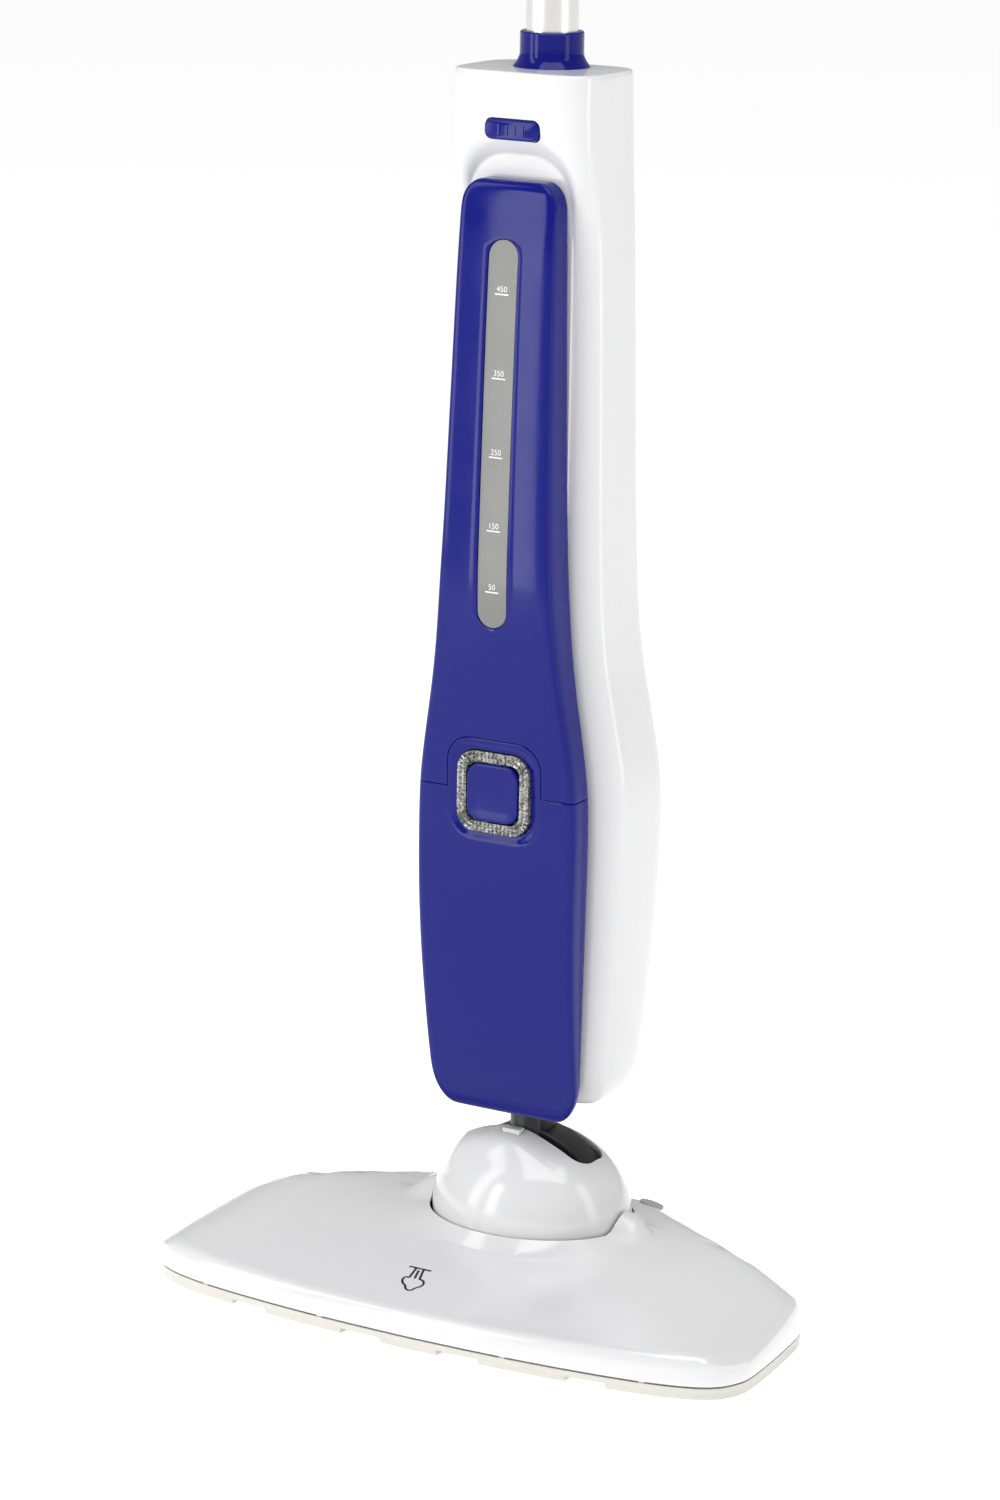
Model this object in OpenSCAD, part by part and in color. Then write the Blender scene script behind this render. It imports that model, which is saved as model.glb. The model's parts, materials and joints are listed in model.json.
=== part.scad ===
// Upright steam mop: swivelling floor head, slim two-shell body with a removable
// water tank, aluminium tube and inline handle. Millimetres, +Z up, +Y to the rear.
// The origin is on the floor, under the swivel axis.

/* [Floor head] */
// Overall width of the floor head
head_w = 331; // [270:1:380]
// Distance from the swivel axis to the front edge of the head
head_front = 118; // [100:1:140]
// Distance from the swivel axis to the rear edge of the head
head_rear = 66; // [58:1:80]
// Height of the seam between head cover and base plate
seam_z = 6.7; // [6:0.1:9]
// Height of the upright rim at the front of the head cover
rim_h = 11.5; // [9:0.5:15]
// Height of the flat top of the head above the floor
head_top = 38.5; // [34:0.5:46]
// Wall of the head cover
head_wall = 2.5; // [2:0.1:3.5]
// Depth of the sole rails below the base plate
rail_h = 2.7; // [2:0.1:3]
// Shadow gap between base plate and head cover
gap_h = 1.1; // [0.6:0.1:1.6]

/* [Swivel] */
// Height of the tilt and swivel axes above the floor
axis_z = 39.5; // [36:0.5:46]
// Half width of the dome along the tilt axis
dome_x = 52; // [48:0.5:58]
// Radius of the dome about the tilt axis
dome_r = 43.2; // [40:0.2:44]
// Wall of the dome
dome_wall = 2.5; // [2:0.1:3]
// Half length of the dome's slot
slot_x = 36.5; // [36:0.5:43]
// Half width of the dome's slot
slot_y = 12.4; // [12:0.1:16]
// Radius of the neck
neck_r = 11.5; // [9:0.5:12.5]
// Radius of the swivel disc
disc_r = 44.2; // [42:0.1:44.4]
// Radius of the trunnion pins
trunnion_r = 2; // [1.5:0.1:2.5]
// Radius of the swivel pin
swivel_r = 3; // [2:0.1:4]
// Running clearance of pins in bores, on the radius
run_gap = 0.05; // [0.02:0.01:0.1]

/* [Body] */
// Height of the underside of the blue front
front_bottom = 95; // [92:1:104]
// Height of the body's underside
body_bottom = 101; // [98:1:108]
// Height of the body's top
body_top = 607; // [560:1:680]
// Widest half width of the body
body_w = 59.5; // [52:0.5:66]
// Half width of the body at its top
body_top_w = 39.5; // [36:0.5:46]
// Depth of the body's front face ahead of the swivel axis
body_front = 24; // [22:0.5:30]
// Depth of the body's back behind the swivel axis
body_back = 30; // [26:0.5:38]
// Wall of the body shells
body_wall = 2.5; // [2:0.1:3.5]
// Parting plane of the front and rear shells
parting_y = -2.5; // [-6:0.5:2]

/* [Tank and front cover] */
// Height of the split between tank and lower cover
split_z = 261.3; // [240:0.5:280]
// Height of the top of the tank
tank_top = 556.5; // [500:0.5:580]
// Widest half width of the blue front
front_w = 44; // [40:0.5:48]
// Half width of the tank at its top
tank_w = 25.8; // [22:0.2:30]
// Wall of the tank and the lower cover
cover_wall = 2.2; // [1.8:0.1:3]
// Half width of the water window
window_w = 7.9; // [6:0.1:10]
// Lowest point of the water window
window_z0 = 343.5; // [320:0.5:360]
// Highest point of the water window
window_z1 = 529; // [480:0.5:540]
// Gap between the tank and what it sits against
tank_gap = 0.4; // [0.3:0.05:0.8]
// How far the tank pulls out
tank_travel = 70; // [60:1:100]

/* [Buttons] */
// Half width of the power button
power_w = 14.2; // [12:0.1:16]
// Half width of the light ring
ring_w = 20; // [18:0.1:22]
// Half width of the bezel lobe
lobe_w = 26; // [24:0.1:28]
// Travel of the power button
power_travel = 1.5; // [1:0.1:2]
// Half width of the release button
push_w = 14.5; // [12:0.1:17]
// Height of the release button
push_h = 9.6; // [8:0.1:12]
// Height of the release button's centre
push_z = 580; // [575:0.5:590]
// Travel of the release button
push_travel = 3; // [2:0.1:3.5]

/* [Tube and handle] */
// Radius of the aluminium tube
tube_r = 12.5; // [11:0.1:14]
// Wall of the aluminium tube
tube_wall = 1.2; // [1:0.1:2]
// Wall of the tube collar
collar_wall = 2.8; // [2:0.1:5]
// Height of the joint between lower and upper tube
joint_z = 812; // [760:1:860]
// Height where the handle begins
handle_z = 985; // [940:1:1040]
// Overall height of the mop
total_h = 1180; // [1140:1:1260]
// Radius of the grip
grip_r = 17; // [15:0.2:20]

/* [Hidden] */
$fn = 48;
fit = 0.02;
eps = 0.01;

BLUE = [0.10, 0.12, 0.52];
WHITE = [0.94, 0.94, 0.95];
CREAM = [0.93, 0.92, 0.89];
BLACK = [0.08, 0.08, 0.09];
STEEL = [0.72, 0.73, 0.75];

// ---------- small helpers ----------
function lerp(a, b, t) = a + (b - a) * t;
function clamp01(t) = max(0, min(1, t));
function ease(t) = let (u = clamp01(t)) u * u * (3 - 2 * u);
function soft_min(a, b, k) = let (m = min(a, b)) m - k * ln(exp((m - a) / k) + exp((m - b) / k));
function soft_max(a, b, k) = -soft_min(-a, -b, k);
function rev(v) = [for (i = [len(v) - 1 : -1 : 0]) v[i]];

// Smooth curve value at x through stations [x, value], eased between neighbours
function station(v, x, i = 0) =
    x <= v[0][0] ? v[0][1] :
    i >= len(v) - 1 ? v[len(v) - 1][1] :
    x > v[i + 1][0] ? station(v, x, i + 1) :
    let (t = (x - v[i][0]) / (v[i + 1][0] - v[i][0]),
         h = v[i + 1][0] - v[i][0],
         m0 = i == 0 ? (v[1][1] - v[0][1]) / (v[1][0] - v[0][0]) :
              (v[i + 1][1] - v[i - 1][1]) / (v[i + 1][0] - v[i - 1][0]),
         m1 = i + 2 >= len(v) ? (v[i + 1][1] - v[i][1]) / h :
              (v[i + 2][1] - v[i][1]) / (v[i + 2][0] - v[i][0]))
    (2 * t * t * t - 3 * t * t + 1) * v[i][1] + (t * t * t - 2 * t * t + t) * h * m0
    + (3 * t * t - 2 * t * t * t) * v[i + 1][1] + (t * t * t - t * t) * h * m1;

// Catmull-Rom curve through points, n pieces per span, end points kept
function curve_pt(a, b, c, d, t) = 0.5 * (2 * b + (c - a) * t + (2 * a - 5 * b + 4 * c - d) * t * t
    + (3 * b - a - 3 * c + d) * t * t * t);
function smooth_path(p, n) = [
    for (i = [0 : len(p) - 2], j = [0 : n - 1])
        curve_pt(p[max(i - 1, 0)], p[i], p[i + 1], p[min(i + 2, len(p) - 1)], j / n),
    p[len(p) - 1]];

// Closed solid through a stack of rings with flat ends
module loft(rings) {
    n = len(rings[0]);
    m = len(rings);
    pts = [for (r = rings) for (p = r) p];
    sides = [for (i = [0 : m - 2], j = [0 : n - 1])
        let (a = i * n + j, b = i * n + (j + 1) % n) each [[a, b + n, b], [a, a + n, b + n]]];
    polyhedron(points = pts, faces = concat(sides,
        [[for (j = [0 : n - 1]) j]], [[for (j = [n - 1 : -1 : 0]) (m - 1) * n + j]]),
        convexity = 8);
}

// Closed ring-shaped skin: the last ring joins the first
module ring_skin(rings) {
    n = len(rings[0]);
    m = len(rings);
    polyhedron(points = [for (r = rings) for (p = r) p], faces = [
        for (i = [0 : m - 1], j = [0 : n - 1])
            let (a = i * n + j, b = i * n + (j + 1) % n, c = ((i + 1) % m) * n)
            each [[a, c + (j + 1) % n, b], [a, c + j, c + (j + 1) % n]]], convexity = 8);
}

// Round bar swept along a path of points
module swept(path, r, sides = 12) {
    m = len(path);
    function tangent(i) = let (d = path[min(i + 1, m - 1)] - path[max(i - 1, 0)]) d / norm(d);
    function side(i) = let (t = tangent(i), s = abs(t.x) > 0.9 ? [0, 1, 0] : [1, 0, 0],
        c = cross(t, s)) c / norm(c);
    loft([for (i = [0 : m - 1]) let (t = tangent(i), u = side(i), v = cross(t, u))
        [for (j = [0 : sides - 1]) let (a = 360 * j / sides)
            path[i] + r * (cos(a) * u + sin(a) * v)]]);
}

module along_x(x0, x1, r, y, z) {
    translate([x0, y, z]) rotate([0, 90, 0]) cylinder(h = x1 - x0, r = r);
}

module along_y(y0, y1, r, x, z) {
    translate([x, y0, z]) rotate([-90, 0, 0]) cylinder(h = y1 - y0, r = r);
}

module rounded_square(w, h, r) {
    hull() {
        for (x = [-1, 1], y = [-1, 1]) {
            translate([x * (w - r), y * (h - r)]) circle(r = r, $fn = 32);
        }
    }
}

// Prism along Y of a rounded rectangle centred at height z
module slab_y(y0, y1, w, h, r, z) {
    translate([0, y1, z]) rotate([90, 0, 0]) linear_extrude(y1 - y0) rounded_square(w, h, r);
}

// ---------- floor head ----------
half_w = head_w / 2;
// Right half of the plan outline, front centre to rear centre
half_plan = smooth_path([
    [0, -head_front], [0.30 * half_w, -head_front + 1.3], [0.58 * half_w, -head_front + 5.2],
    [0.80 * half_w, -head_front + 11], [0.94 * half_w, -head_front + 20],
    [0.995 * half_w, -head_front + 34], [half_w, -head_front + 50],
    [0.98 * half_w, -head_front + 82], [0.95 * half_w, -8], [0.90 * half_w, 3],
    [0.80 * half_w, 0.13 * head_rear], [0.68 * half_w, 0.21 * head_rear],
    [0.55 * half_w, 0.42 * head_rear], [0.44 * half_w, 0.65 * head_rear],
    [0.31 * half_w, 0.84 * head_rear], [0.155 * half_w, 0.96 * head_rear], [0, head_rear]], 3);
half_n = len(half_plan);
plan = concat(half_plan, [for (i = [half_n - 2 : -1 : 1]) [-half_plan[i].x, half_plan[i].y]]);
plan_n = len(plan);

// Outward direction of the outline at each of its points
function plan_dir(i) = let (d = plan[(i + 1) % plan_n] - plan[(i + plan_n - 1) % plan_n])
    [d.y, -d.x] / norm(d);
function plan_in(d) = [for (i = [0 : plan_n - 1]) plan[i] - d * plan_dir(i)];

rim_z = seam_z + rim_h;
dome_gap = 0.8;
open_x = dome_x + 1.6;
open_y = dome_r + dome_gap;

// Height of the head's top: the soft minimum of a front, two side and two rear slopes
function top_base(x, y) =
    let (front = rim_z + 0.178 * (y + head_front),
         side = rim_z + 0.09 * (y + head_front - 30) + 0.43 * (0.965 * half_w - abs(x)),
         rear = 0.98 * rim_z + ((head_rear - 2) - y - 0.58 * max(0, abs(x) - 40)))
    soft_min(soft_min(front, side, 1.5), soft_min(rear, head_top + 0.5, 2.0), 2.0);
// Collar that rises round the dome, with an ear over each trunnion
function dome_dist(x, y) = norm([x, y * open_x / open_y]) - open_x;
function top_z(x, y) =
    let (d = max(0, dome_dist(x, y)),
         collar = head_top - 1 - 9 * (1 - exp(-d / 5)) - 0.6 * d,
         ear = axis_z + 7.2 - pow(max(0, abs(x) - 56), 2) / 9 - y * y / 16)
    soft_max(soft_max(top_base(x, y), collar, 0.8), ear, 0.8);

module head_cover() {
    steps = [0.02, 0.06, 0.14, 0.26, 0.4, 0.56, 0.72, 0.84, 0.93, 1];
    function mouth(i, grow) = let (p = plan[i], a = atan2(p.y / (open_y + 12), p.x / (open_x + 12)))
        [(open_x + grow) * cos(a), (open_y + grow) * sin(a)];
    function ring(s, inset, drop) = [for (i = [0 : plan_n - 1])
        let (o = plan[i] - inset * plan_dir(i), p = lerp(o, mouth(i, 0), s),
             z = top_z(p.x, p.y) - drop) [p.x, p.y, z]];
    function wall(z, inset) = [for (i = [0 : plan_n - 1])
        let (p = plan[i] - inset * plan_dir(i)) [p.x, p.y, z]];
    function brow(inset, part, drop) = [for (i = [0 : plan_n - 1])
        let (p = plan[i] - inset * plan_dir(i), q = lerp(plan[i], mouth(i, 0), 0.02),
             z = top_z(q.x, q.y) - drop) [p.x, p.y, lerp(seam_z, z, part)]];
    outer = concat([wall(seam_z, 0.6), brow(0, 0.12, 0), brow(0.2, 0.6, 0),
        brow(0.9, 0.86, 0)], [for (s = steps) ring(s, 1.2, 0)]);
    inner = concat([for (s = rev(steps)) ring(s, 1.2 + head_wall, head_wall)],
        [brow(head_wall + 0.2, 0.5, head_wall), wall(seam_z, head_wall)]);
    color(WHITE) union() {
        difference() {
            ring_skin(concat(outer, inner));
            plug_disc(0.05, 6);
        }
        for (p = screw_spots) {
            translate([p.x, p.y, seam_z]) difference() {
                cylinder(h = top_z(p.x, p.y) - seam_z - head_wall / 2, r = 4.2, $fn = 16);
                translate([0, 0, -1]) cylinder(h = 10, r = screw_r, $fn = 16);
            }
        }
    }
}

screw_spots = [[-0.76 * half_w, -85], [0.76 * half_w, -85], [-0.76 * half_w, -20],
    [0.76 * half_w, -20], [-32, 50], [32, 50]];
screw_r = 1.5;

module base_plate() {
    plate_z = seam_z - gap_h;
    color(CREAM) difference() {
        union() {
            translate([0, 0, rail_h]) linear_extrude(plate_z - rail_h) polygon(plan_in(1));
            // Posts that carry the cover across the shadow gap
            translate([0, 0, plate_z - eps]) linear_extrude(gap_h + eps) intersection() {
                difference() {
                    polygon(plan_in(1.4));
                    polygon(plan_in(4.4));
                }
                union() {
                    for (x = [-124, -52, 52, 124]) {
                        translate([x - 1.5, -300]) square([3, 600]);
                    }
                }
            }
            for (p = screw_spots) {
                translate([p.x, p.y, plate_z - eps]) cylinder(h = gap_h + eps, r = 4.2);
            }
        }
        for (p = screw_spots) {
            translate([p.x, p.y, 0]) cylinder(h = 20, r = screw_r + 0.3);
            translate([p.x, p.y, rail_h - 1]) cylinder(h = 2, r = 3.2);
        }
        for (x = hole_xs) {
            translate([x, nozzle_y, 0]) cylinder(h = 20, r = 1.6);
        }
    }
}

nozzle_y = -64;
hole_xs = [for (i = [-3.5 : 1 : 3.5]) i * 14];

module sole_rails() {
    color(CREAM) linear_extrude(rail_h) {
        intersection() {
            difference() {
                polygon(plan_in(1.4));
                polygon(plan_in(11));
            }
            union() {
                translate([-16, -300]) square([32, 600]);
                for (s = [-1, 1]) {
                    translate([s * 62 - 23, -300]) square([46, 600]);
                    translate([s * (106 + 100) - 100, -300]) square([200, 600]);
                }
            }
        }
        // Rib across the middle that carries the weight of the body
        translate([-40, -4]) square([80, 8]);
    }
}

module nozzle_plate() {
    color(CREAM) difference() {
        translate([0, nozzle_y, 1]) linear_extrude(rail_h - 1) rounded_square(66, 13, 6);
        for (x = hole_xs) {
            translate([x, nozzle_y, 0]) cylinder(h = 5, r = 1.6);
        }
    }
}

module manifold_gasket() {
    color([0.75, 0.3, 0.2]) translate([0, nozzle_y, seam_z - gap_h]) linear_extrude(1)
        difference() {
            rounded_square(60, 9, 4);
            rounded_square(56, 5, 2);
        }
}

manifold_z = seam_z - gap_h + 1;
manifold_h = 9;
module steam_manifold() {
    color(BLACK) difference() {
        union() {
            translate([0, nozzle_y, manifold_z]) linear_extrude(manifold_h)
                rounded_square(60, 9, 4);
            along_y(nozzle_y + 8, nozzle_y + 16, 3, riser_x, manifold_z + 4.5);
        }
        translate([0, nozzle_y, manifold_z - 1]) linear_extrude(manifold_h - 1)
            rounded_square(57.5, 6.5, 3);
        along_y(nozzle_y, nozzle_y + 20, 1.8, riser_x, manifold_z + 4.5);
    }
}

// The riser passes beside the dome's lower rim, then turns in under the neck
riser_x = 41;
module steam_riser() {
    hose_r = 4.2;
    z0 = manifold_z + 4.5;
    path = smooth_path([[riser_x, nozzle_y + 10, z0], [riser_x, nozzle_y + 30, z0],
        [riser_x - 5, -18, z0], [20, -5, z0 + 0.5], [7, -1, z0 + 2.5], [0.5, 0, z0 + 7.5],
        [0, 0, axis_z - 17.8]], 4);
    color([0.55, 0.2, 0.15]) difference() {
        swept(path, hose_r);
        along_y(nozzle_y, nozzle_y + 16.2, 3, riser_x, z0);
    }
}

bracket_x = dome_x + 2.2;
bracket_t = 3.6;
module bracket(s) {
    color(BLACK) difference() {
        hull() {
            along_x(min(s * bracket_x, s * (bracket_x + bracket_t)),
                max(s * bracket_x, s * (bracket_x + bracket_t)), 3.8, 0, axis_z);
            translate([s * (bracket_x + bracket_t / 2) - bracket_t / 2, -12, seam_z - gap_h])
                cube([bracket_t, 24, 2]);
        }
        along_x(s > 0 ? 40 : -80, s > 0 ? 80 : -40, trunnion_r, 0, axis_z);
    }
}

module bracket_left() { bracket(-1); }

module bracket_right() { bracket(1); }

module trunnion_pins() {
    color(STEEL) for (s = [-1, 1]) {
        x0 = s * (dome_x - 5);
        x1 = s * (bracket_x + bracket_t);
        along_x(min(x0, x1), max(x0, x1), trunnion_r, 0, axis_z);
    }
}

module head_screws() {
    color(STEEL) for (p = screw_spots) {
        translate([p.x, p.y, rail_h - 0.8]) cylinder(h = 1.8, r = 3);
        translate([p.x, p.y, rail_h]) cylinder(h = 9, r = screw_r);
    }
}

plug_at = [46, 40];
// Oval disc that follows the slope of the rear lobe, sunk a little into it
module plug_disc(grow, h) {
    translate([plug_at.x, plug_at.y, top_z(plug_at.x, plug_at.y) - 0.4]) rotate([0, 18, 35])
        scale([1.35, 1, 1]) cylinder(h = h, r = 4.6 + grow);
}

module lobe_plug() {
    color([0.62, 0.62, 0.60]) plug_disc(0, 1.4);
}

// ---------- swivel ----------
rear_rim = 2;
front_rim = 45;
boss_r = 4;

// Half of the dome's profile: axis along Y of the sketch, radius along X
module dome_profile(grow) {
    polygon(concat([for (i = [0 : 32]) let (a = -90 + 180 * i / 32)
        [max(0.001, (dome_r - grow) * cos(a)), (dome_x - grow) * sin(a)]]));
}

// Raised lip in front of the slot, round the park latch
lip_h = 3.6;
module slot_lip() {
    intersection() {
        rotate([0, 90, 0]) rotate([0, 0, 90]) rotate_extrude(angle = 180) difference() {
            dome_profile(-lip_h);
            dome_profile(dome_wall);
        }
        translate([-5, -slot_y - 3.5, 20]) linear_extrude(60) rounded_square(15, 4.5, 4);
    }
}

module dome() {
    color(WHITE) translate([0, 0, axis_z]) difference() {
        union() {
            slot_lip();
            // Shell turned about the tilt axis, from the front rim over the top to the rear rim
            rotate([-rear_rim, 0, 0]) rotate([0, 90, 0]) rotate([0, 0, 90])
                rotate_extrude(angle = 180 + rear_rim + front_rim) difference() {
                    dome_profile(0);
                    dome_profile(dome_wall);
                }
            for (s = [-1, 1]) {
                along_x(s > 0 ? dome_x - 6.5 : -dome_x - 1, s > 0 ? dome_x + 1 : -dome_x + 6.5,
                    boss_r, 0, 0);
            }
            along_y(-dome_r + dome_wall / 2 + 1, -31, 5, 0, 0);
            intersection() {
                along_y(31, dome_r - 1.5, 5, 0, 0);
                translate([-10, 20, -rear_rim]) cube([20, 30, 20]);
            }
        }
        along_x(-dome_x - 5, dome_x + 5, trunnion_r + run_gap, 0, 0);
        translate([0, 0, 8]) linear_extrude(60) rounded_square(slot_x, slot_y, 9);
        // Seat of the park latch in the front lip of the slot
        translate([latch_x - latch_w - 0.3, -slot_y - latch_d, 30])
            cube([2 * latch_w + 0.6, latch_d + 1, 20]);
        along_y(-39, 38, swivel_r, 0, 0);
    }
}

latch_x = -2.5;
latch_w = 5;
latch_d = 6;

module swivel_pin() {
    color(STEEL) along_y(-38.5, 37.5, swivel_r, 0, axis_z);
}

module park_latch() {
    top = axis_z + sqrt(pow(dome_r + lip_h, 2) - slot_y * slot_y);
    color([0.85, 0.85, 0.87]) translate([latch_x - latch_w, -slot_y - latch_d + 0.3, top - 9])
        cube([2 * latch_w, latch_d - 0.3, 8.7]);
}

neck_top = body_bottom + 24;
module neck() {
    color(BLACK) difference() {
        union() {
            translate([0, 0, axis_z]) cylinder(h = neck_top - axis_z, r = neck_r);
            along_y(-13, 13, 10, 0, axis_z);
        }
        along_y(-20, 20, swivel_r + run_gap, 0, axis_z);
        translate([0, 0, axis_z + 14]) cylinder(h = 200, r = 5);
        // Fork that straddles the swivel disc
        along_y(-disc_t / 2, disc_t / 2, disc_r, 0, axis_z);
    }
}

disc_t = 16;
// The sector closes the slot on its right; on the left it ends under the neck
disc_arcs = [-20, 78];
module swivel_disc() {
    color(BLACK) difference() {
        intersection() {
            along_y(-disc_t / 2, disc_t / 2, disc_r, 0, axis_z);
            union() {
                along_y(-disc_t, disc_t, 10, 0, axis_z);
                translate([0, 10, axis_z]) rotate([90, 0, 0]) linear_extrude(20)
                    polygon([[0, 0], for (i = [0 : 6])
                        let (a = 90 - lerp(disc_arcs[0], disc_arcs[1], i / 6))
                        [80 * cos(a), 80 * sin(a)]]);
            }
        }
        along_y(-20, 20, swivel_r + run_gap, 0, axis_z);
        translate([0, 0, axis_z + 12]) cylinder(h = 50, r = 2.5);
    }
}

// ---------- body ----------
body_len = body_top - body_bottom;
// Height on the body from its share of the length above the widest place
belly_z = split_z - 4;
function up(t) = belly_z + t * (body_top - belly_z);
function down(t) = belly_z - t * (belly_z - body_bottom);

width_line = [[down(1), body_w - 10.5], [down(0.72), body_w - 5.5], [down(0.3), body_w - 1],
    [belly_z, body_w], [up(0.1), body_w - 5.5], [up(0.2), body_w - 12],
    [up(0.32), lerp(body_w, body_top_w, 0.76)], [up(0.6), body_top_w + 2.4],
    [up(1), body_top_w]];
front_line = [[down(1), body_front - 1.5], [belly_z, body_front - 0.5],
    [up(0.2), body_front + 0.5], [up(0.78), body_front + 0.5], [up(0.86), body_front + 8.5],
    [up(0.92), body_front + 12], [up(1), body_front + 11]];
back_line = [[down(1), body_back - 8], [down(0.6), body_back - 2], [belly_z, body_back + 1],
    [up(0.25), body_back - 3], [up(1), body_back - 9]];

// Exponent of the section's corners: square at the belly, rounder at the top
function corner_power(z) = lerp(0.6, 0.86, ease((z - (tank_top - 36)) / 50));
function body_half_w(z) = station(width_line, z);
function body_depth(z, side) = side < 0 ? station(front_line, z) + parting_y
    : station(back_line, z) - parting_y;

// Half ring of a body shell at height z: side is -1 in front, 1 behind
function half_ring(z, side, inset, over) =
    let (w = body_half_w(z) - inset, d = body_depth(z, side) - inset + over,
         n = 15, power = corner_power(z),
         pts = [for (i = [0 : n]) let (a = 180 * i / n, c = cos(a), s = sin(a))
             [w * sign(c) * pow(abs(c), power),
              parting_y + side * (d * pow(abs(s), power) - over), z]])
    side > 0 ? pts : rev(pts);

// Surface of the body at x, z: side is -1 in front, 1 behind
function skin_y(x, z, side) = let (p = corner_power(z))
    parting_y + side * body_depth(z, side) * pow(1 - pow(abs(x) / body_half_w(z), 2 / p), p / 2);
function back_y(x, z) = skin_y(x, z, 1);

// Heights of the rings, closer together at both ends
shell_zs = concat([body_bottom], [for (t = [0.03, 0.08, 0.15]) lerp(body_bottom, belly_z, t)],
    [for (i = [2 : 5]) lerp(body_bottom, belly_z, i / 6)],
    [for (i = [0 : 12]) lerp(belly_z, body_top, i / 13)], [body_top - 4, body_top]);

// How much the ends of the body pull in, to round them
function end_pull(z) = let (b = clamp01((z - body_bottom) / 14), t = clamp01((body_top - z) / 5))
    9 * (1 - sqrt(1 - pow(1 - b, 2))) + 2.5 * (1 - sqrt(1 - pow(1 - t, 2)));

module half_body(side, inset, over) {
    loft([for (z = shell_zs)
        let (zz = z == body_bottom ? z + inset : z == body_top ? z - inset : z)
        [for (p = half_ring(z, side, inset + end_pull(z), over)) [p.x, p.y, zz]]]);
}

shell_screws = [[22, 588], [34, 335], [34, 470], [48, 205], [40, 130]];
head_depth = 9;
socket_wall = 3;
// How far the tube reaches into the body
tube_in = 20;
module shell_half(side) {
    difference() {
        union() {
            difference() {
                half_body(side, 0, 0);
                half_body(side, body_wall, 2);
            }
            for (p = shell_screws, s = [-1, 1]) {
                y = skin_y(p.x, p.y, side) - side * body_wall / 2;
                along_y(min(parting_y, y), max(parting_y, y), 4.6, s * p.x, p.y, $fn = 20);
            }
            // Sockets of the neck and of the tube
            intersection() {
                translate([-50, side > 0 ? parting_y : parting_y - 50, 0]) cube([100, 50, 2000]);
                union() {
                    translate([0, 0, body_bottom + 2]) cylinder(h = 23, r = neck_r + socket_wall, $fn = 40);
                    translate([0, 0, body_top - tube_in + 1]) cylinder(h = tube_in - 2,
                        r = tube_r + socket_wall, $fn = 40);
                }
            }
        }
        translate([0, 0, body_bottom - 5]) cylinder(h = 31.5, r = neck_r + fit);
        translate([0, 0, body_top - tube_in]) cylinder(h = 100, r = tube_r + fit);
        if (side < 0) for (p = shell_screws, s = [-1, 1]) {
            along_y(parting_y - 7, parting_y + 1, screw_r - 0.3, s * p.x, p.y, $fn = 16);
        }
    }
}

// ---------- blue front: tank and lower cover ----------
front_back_y = -25.5;
blue_zs = [for (i = [0 : 18]) lerp(front_bottom - 1, tank_top + 1, i / 18)];
blue_w_line = [[front_bottom, front_w - 3.2], [lerp(front_bottom, split_z, 0.6), front_w - 0.5],
    [split_z - 4, front_w], [split_z + 22, front_w - 3], [split_z + 52, front_w - 8],
    [split_z + 85, front_w - 11.8], [split_z + 140, lerp(front_w, tank_w, 0.80)],
    [tank_top, tank_w]];
blue_y_line = [[front_bottom, 29], [lerp(front_bottom, split_z, 0.25), 37],
    [lerp(front_bottom, split_z, 0.6), 43.6], [split_z, 44], [split_z + 85, 48.4],
    [split_z + 105, 49], [split_z + 240, 44], [tank_top - 8, 40.5], [tank_top + 1, 38]];

function blue_ring(z, inset) =
    let (w = station(blue_w_line, z) - inset, y0 = front_back_y + (inset > 0 ? 1 : 0),
         d = station(blue_y_line, z) + y0 - inset, n = 18)
    concat([for (i = [n : -1 : 0]) let (a = 180 * i / n, c = cos(a), s = sin(a))
        [w * sign(c) * pow(abs(c), 0.55), y0 - d * pow(abs(s), 0.55), z]]);

// Outline of the blue front seen from ahead, smaller by inset
module front_outline(inset) {
    offset(r = -inset, $fn = 32) union() {
        translate([0, tank_top - 60]) rounded_square(tank_w + 2, 60, 10);
        hull() {
            translate([-14, front_bottom]) square([28, 10]);
            for (s = [-1, 1]) {
                translate([s * (front_w - 19.5), front_bottom + 20.5]) circle(r = 17, $fn = 32);
            }
            translate([-front_w - 5, front_bottom + 40]) square([2 * front_w + 10, 10]);
        }
        translate([-front_w - 5, front_bottom + 45]) square([2 * front_w + 10,
            tank_top - front_bottom - 110]);
    }
}

module blue_solid(inset) {
    intersection() {
        loft([for (z = blue_zs) blue_ring(z, inset)]);
        rotate([90, 0, 0]) linear_extrude(100) front_outline(inset);
    }
}

lobe_z = split_z;
module lobe_prism(grow) {
    slab_y(-80, 0, lobe_w + grow, lobe_w + grow, 13 + grow, lobe_z);
}

module blue_skin() {
    difference() {
        blue_solid(0);
        blue_solid(cover_wall);
    }
}

module lower_cover() {
    color(BLUE) difference() {
        intersection() {
            blue_skin();
            union() {
                translate([-80, -80, 0]) cube([160, 80, split_z]);
                lobe_prism(0);
            }
        }
        slab_y(-80, -20, ring_w + fit, ring_w + fit, 10, lobe_z);
    }
}

ring_back = -36;
module light_ring() {
    color([0.85, 0.87, 0.9]) difference() {
        slab_y(-44.6, ring_back, ring_w, ring_w, 10, lobe_z);
        slab_y(-80, 0, power_w + 0.3, power_w + 0.3, 7.3, lobe_z);
    }
    color([0.85, 0.87, 0.9]) difference() {
        slab_y(ring_back, ring_back + 1.5, ring_w + 3, ring_w + 3, 10, lobe_z);
        slab_y(-80, 0, power_w - 1, power_w - 1, 6, lobe_z);
    }
}

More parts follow.
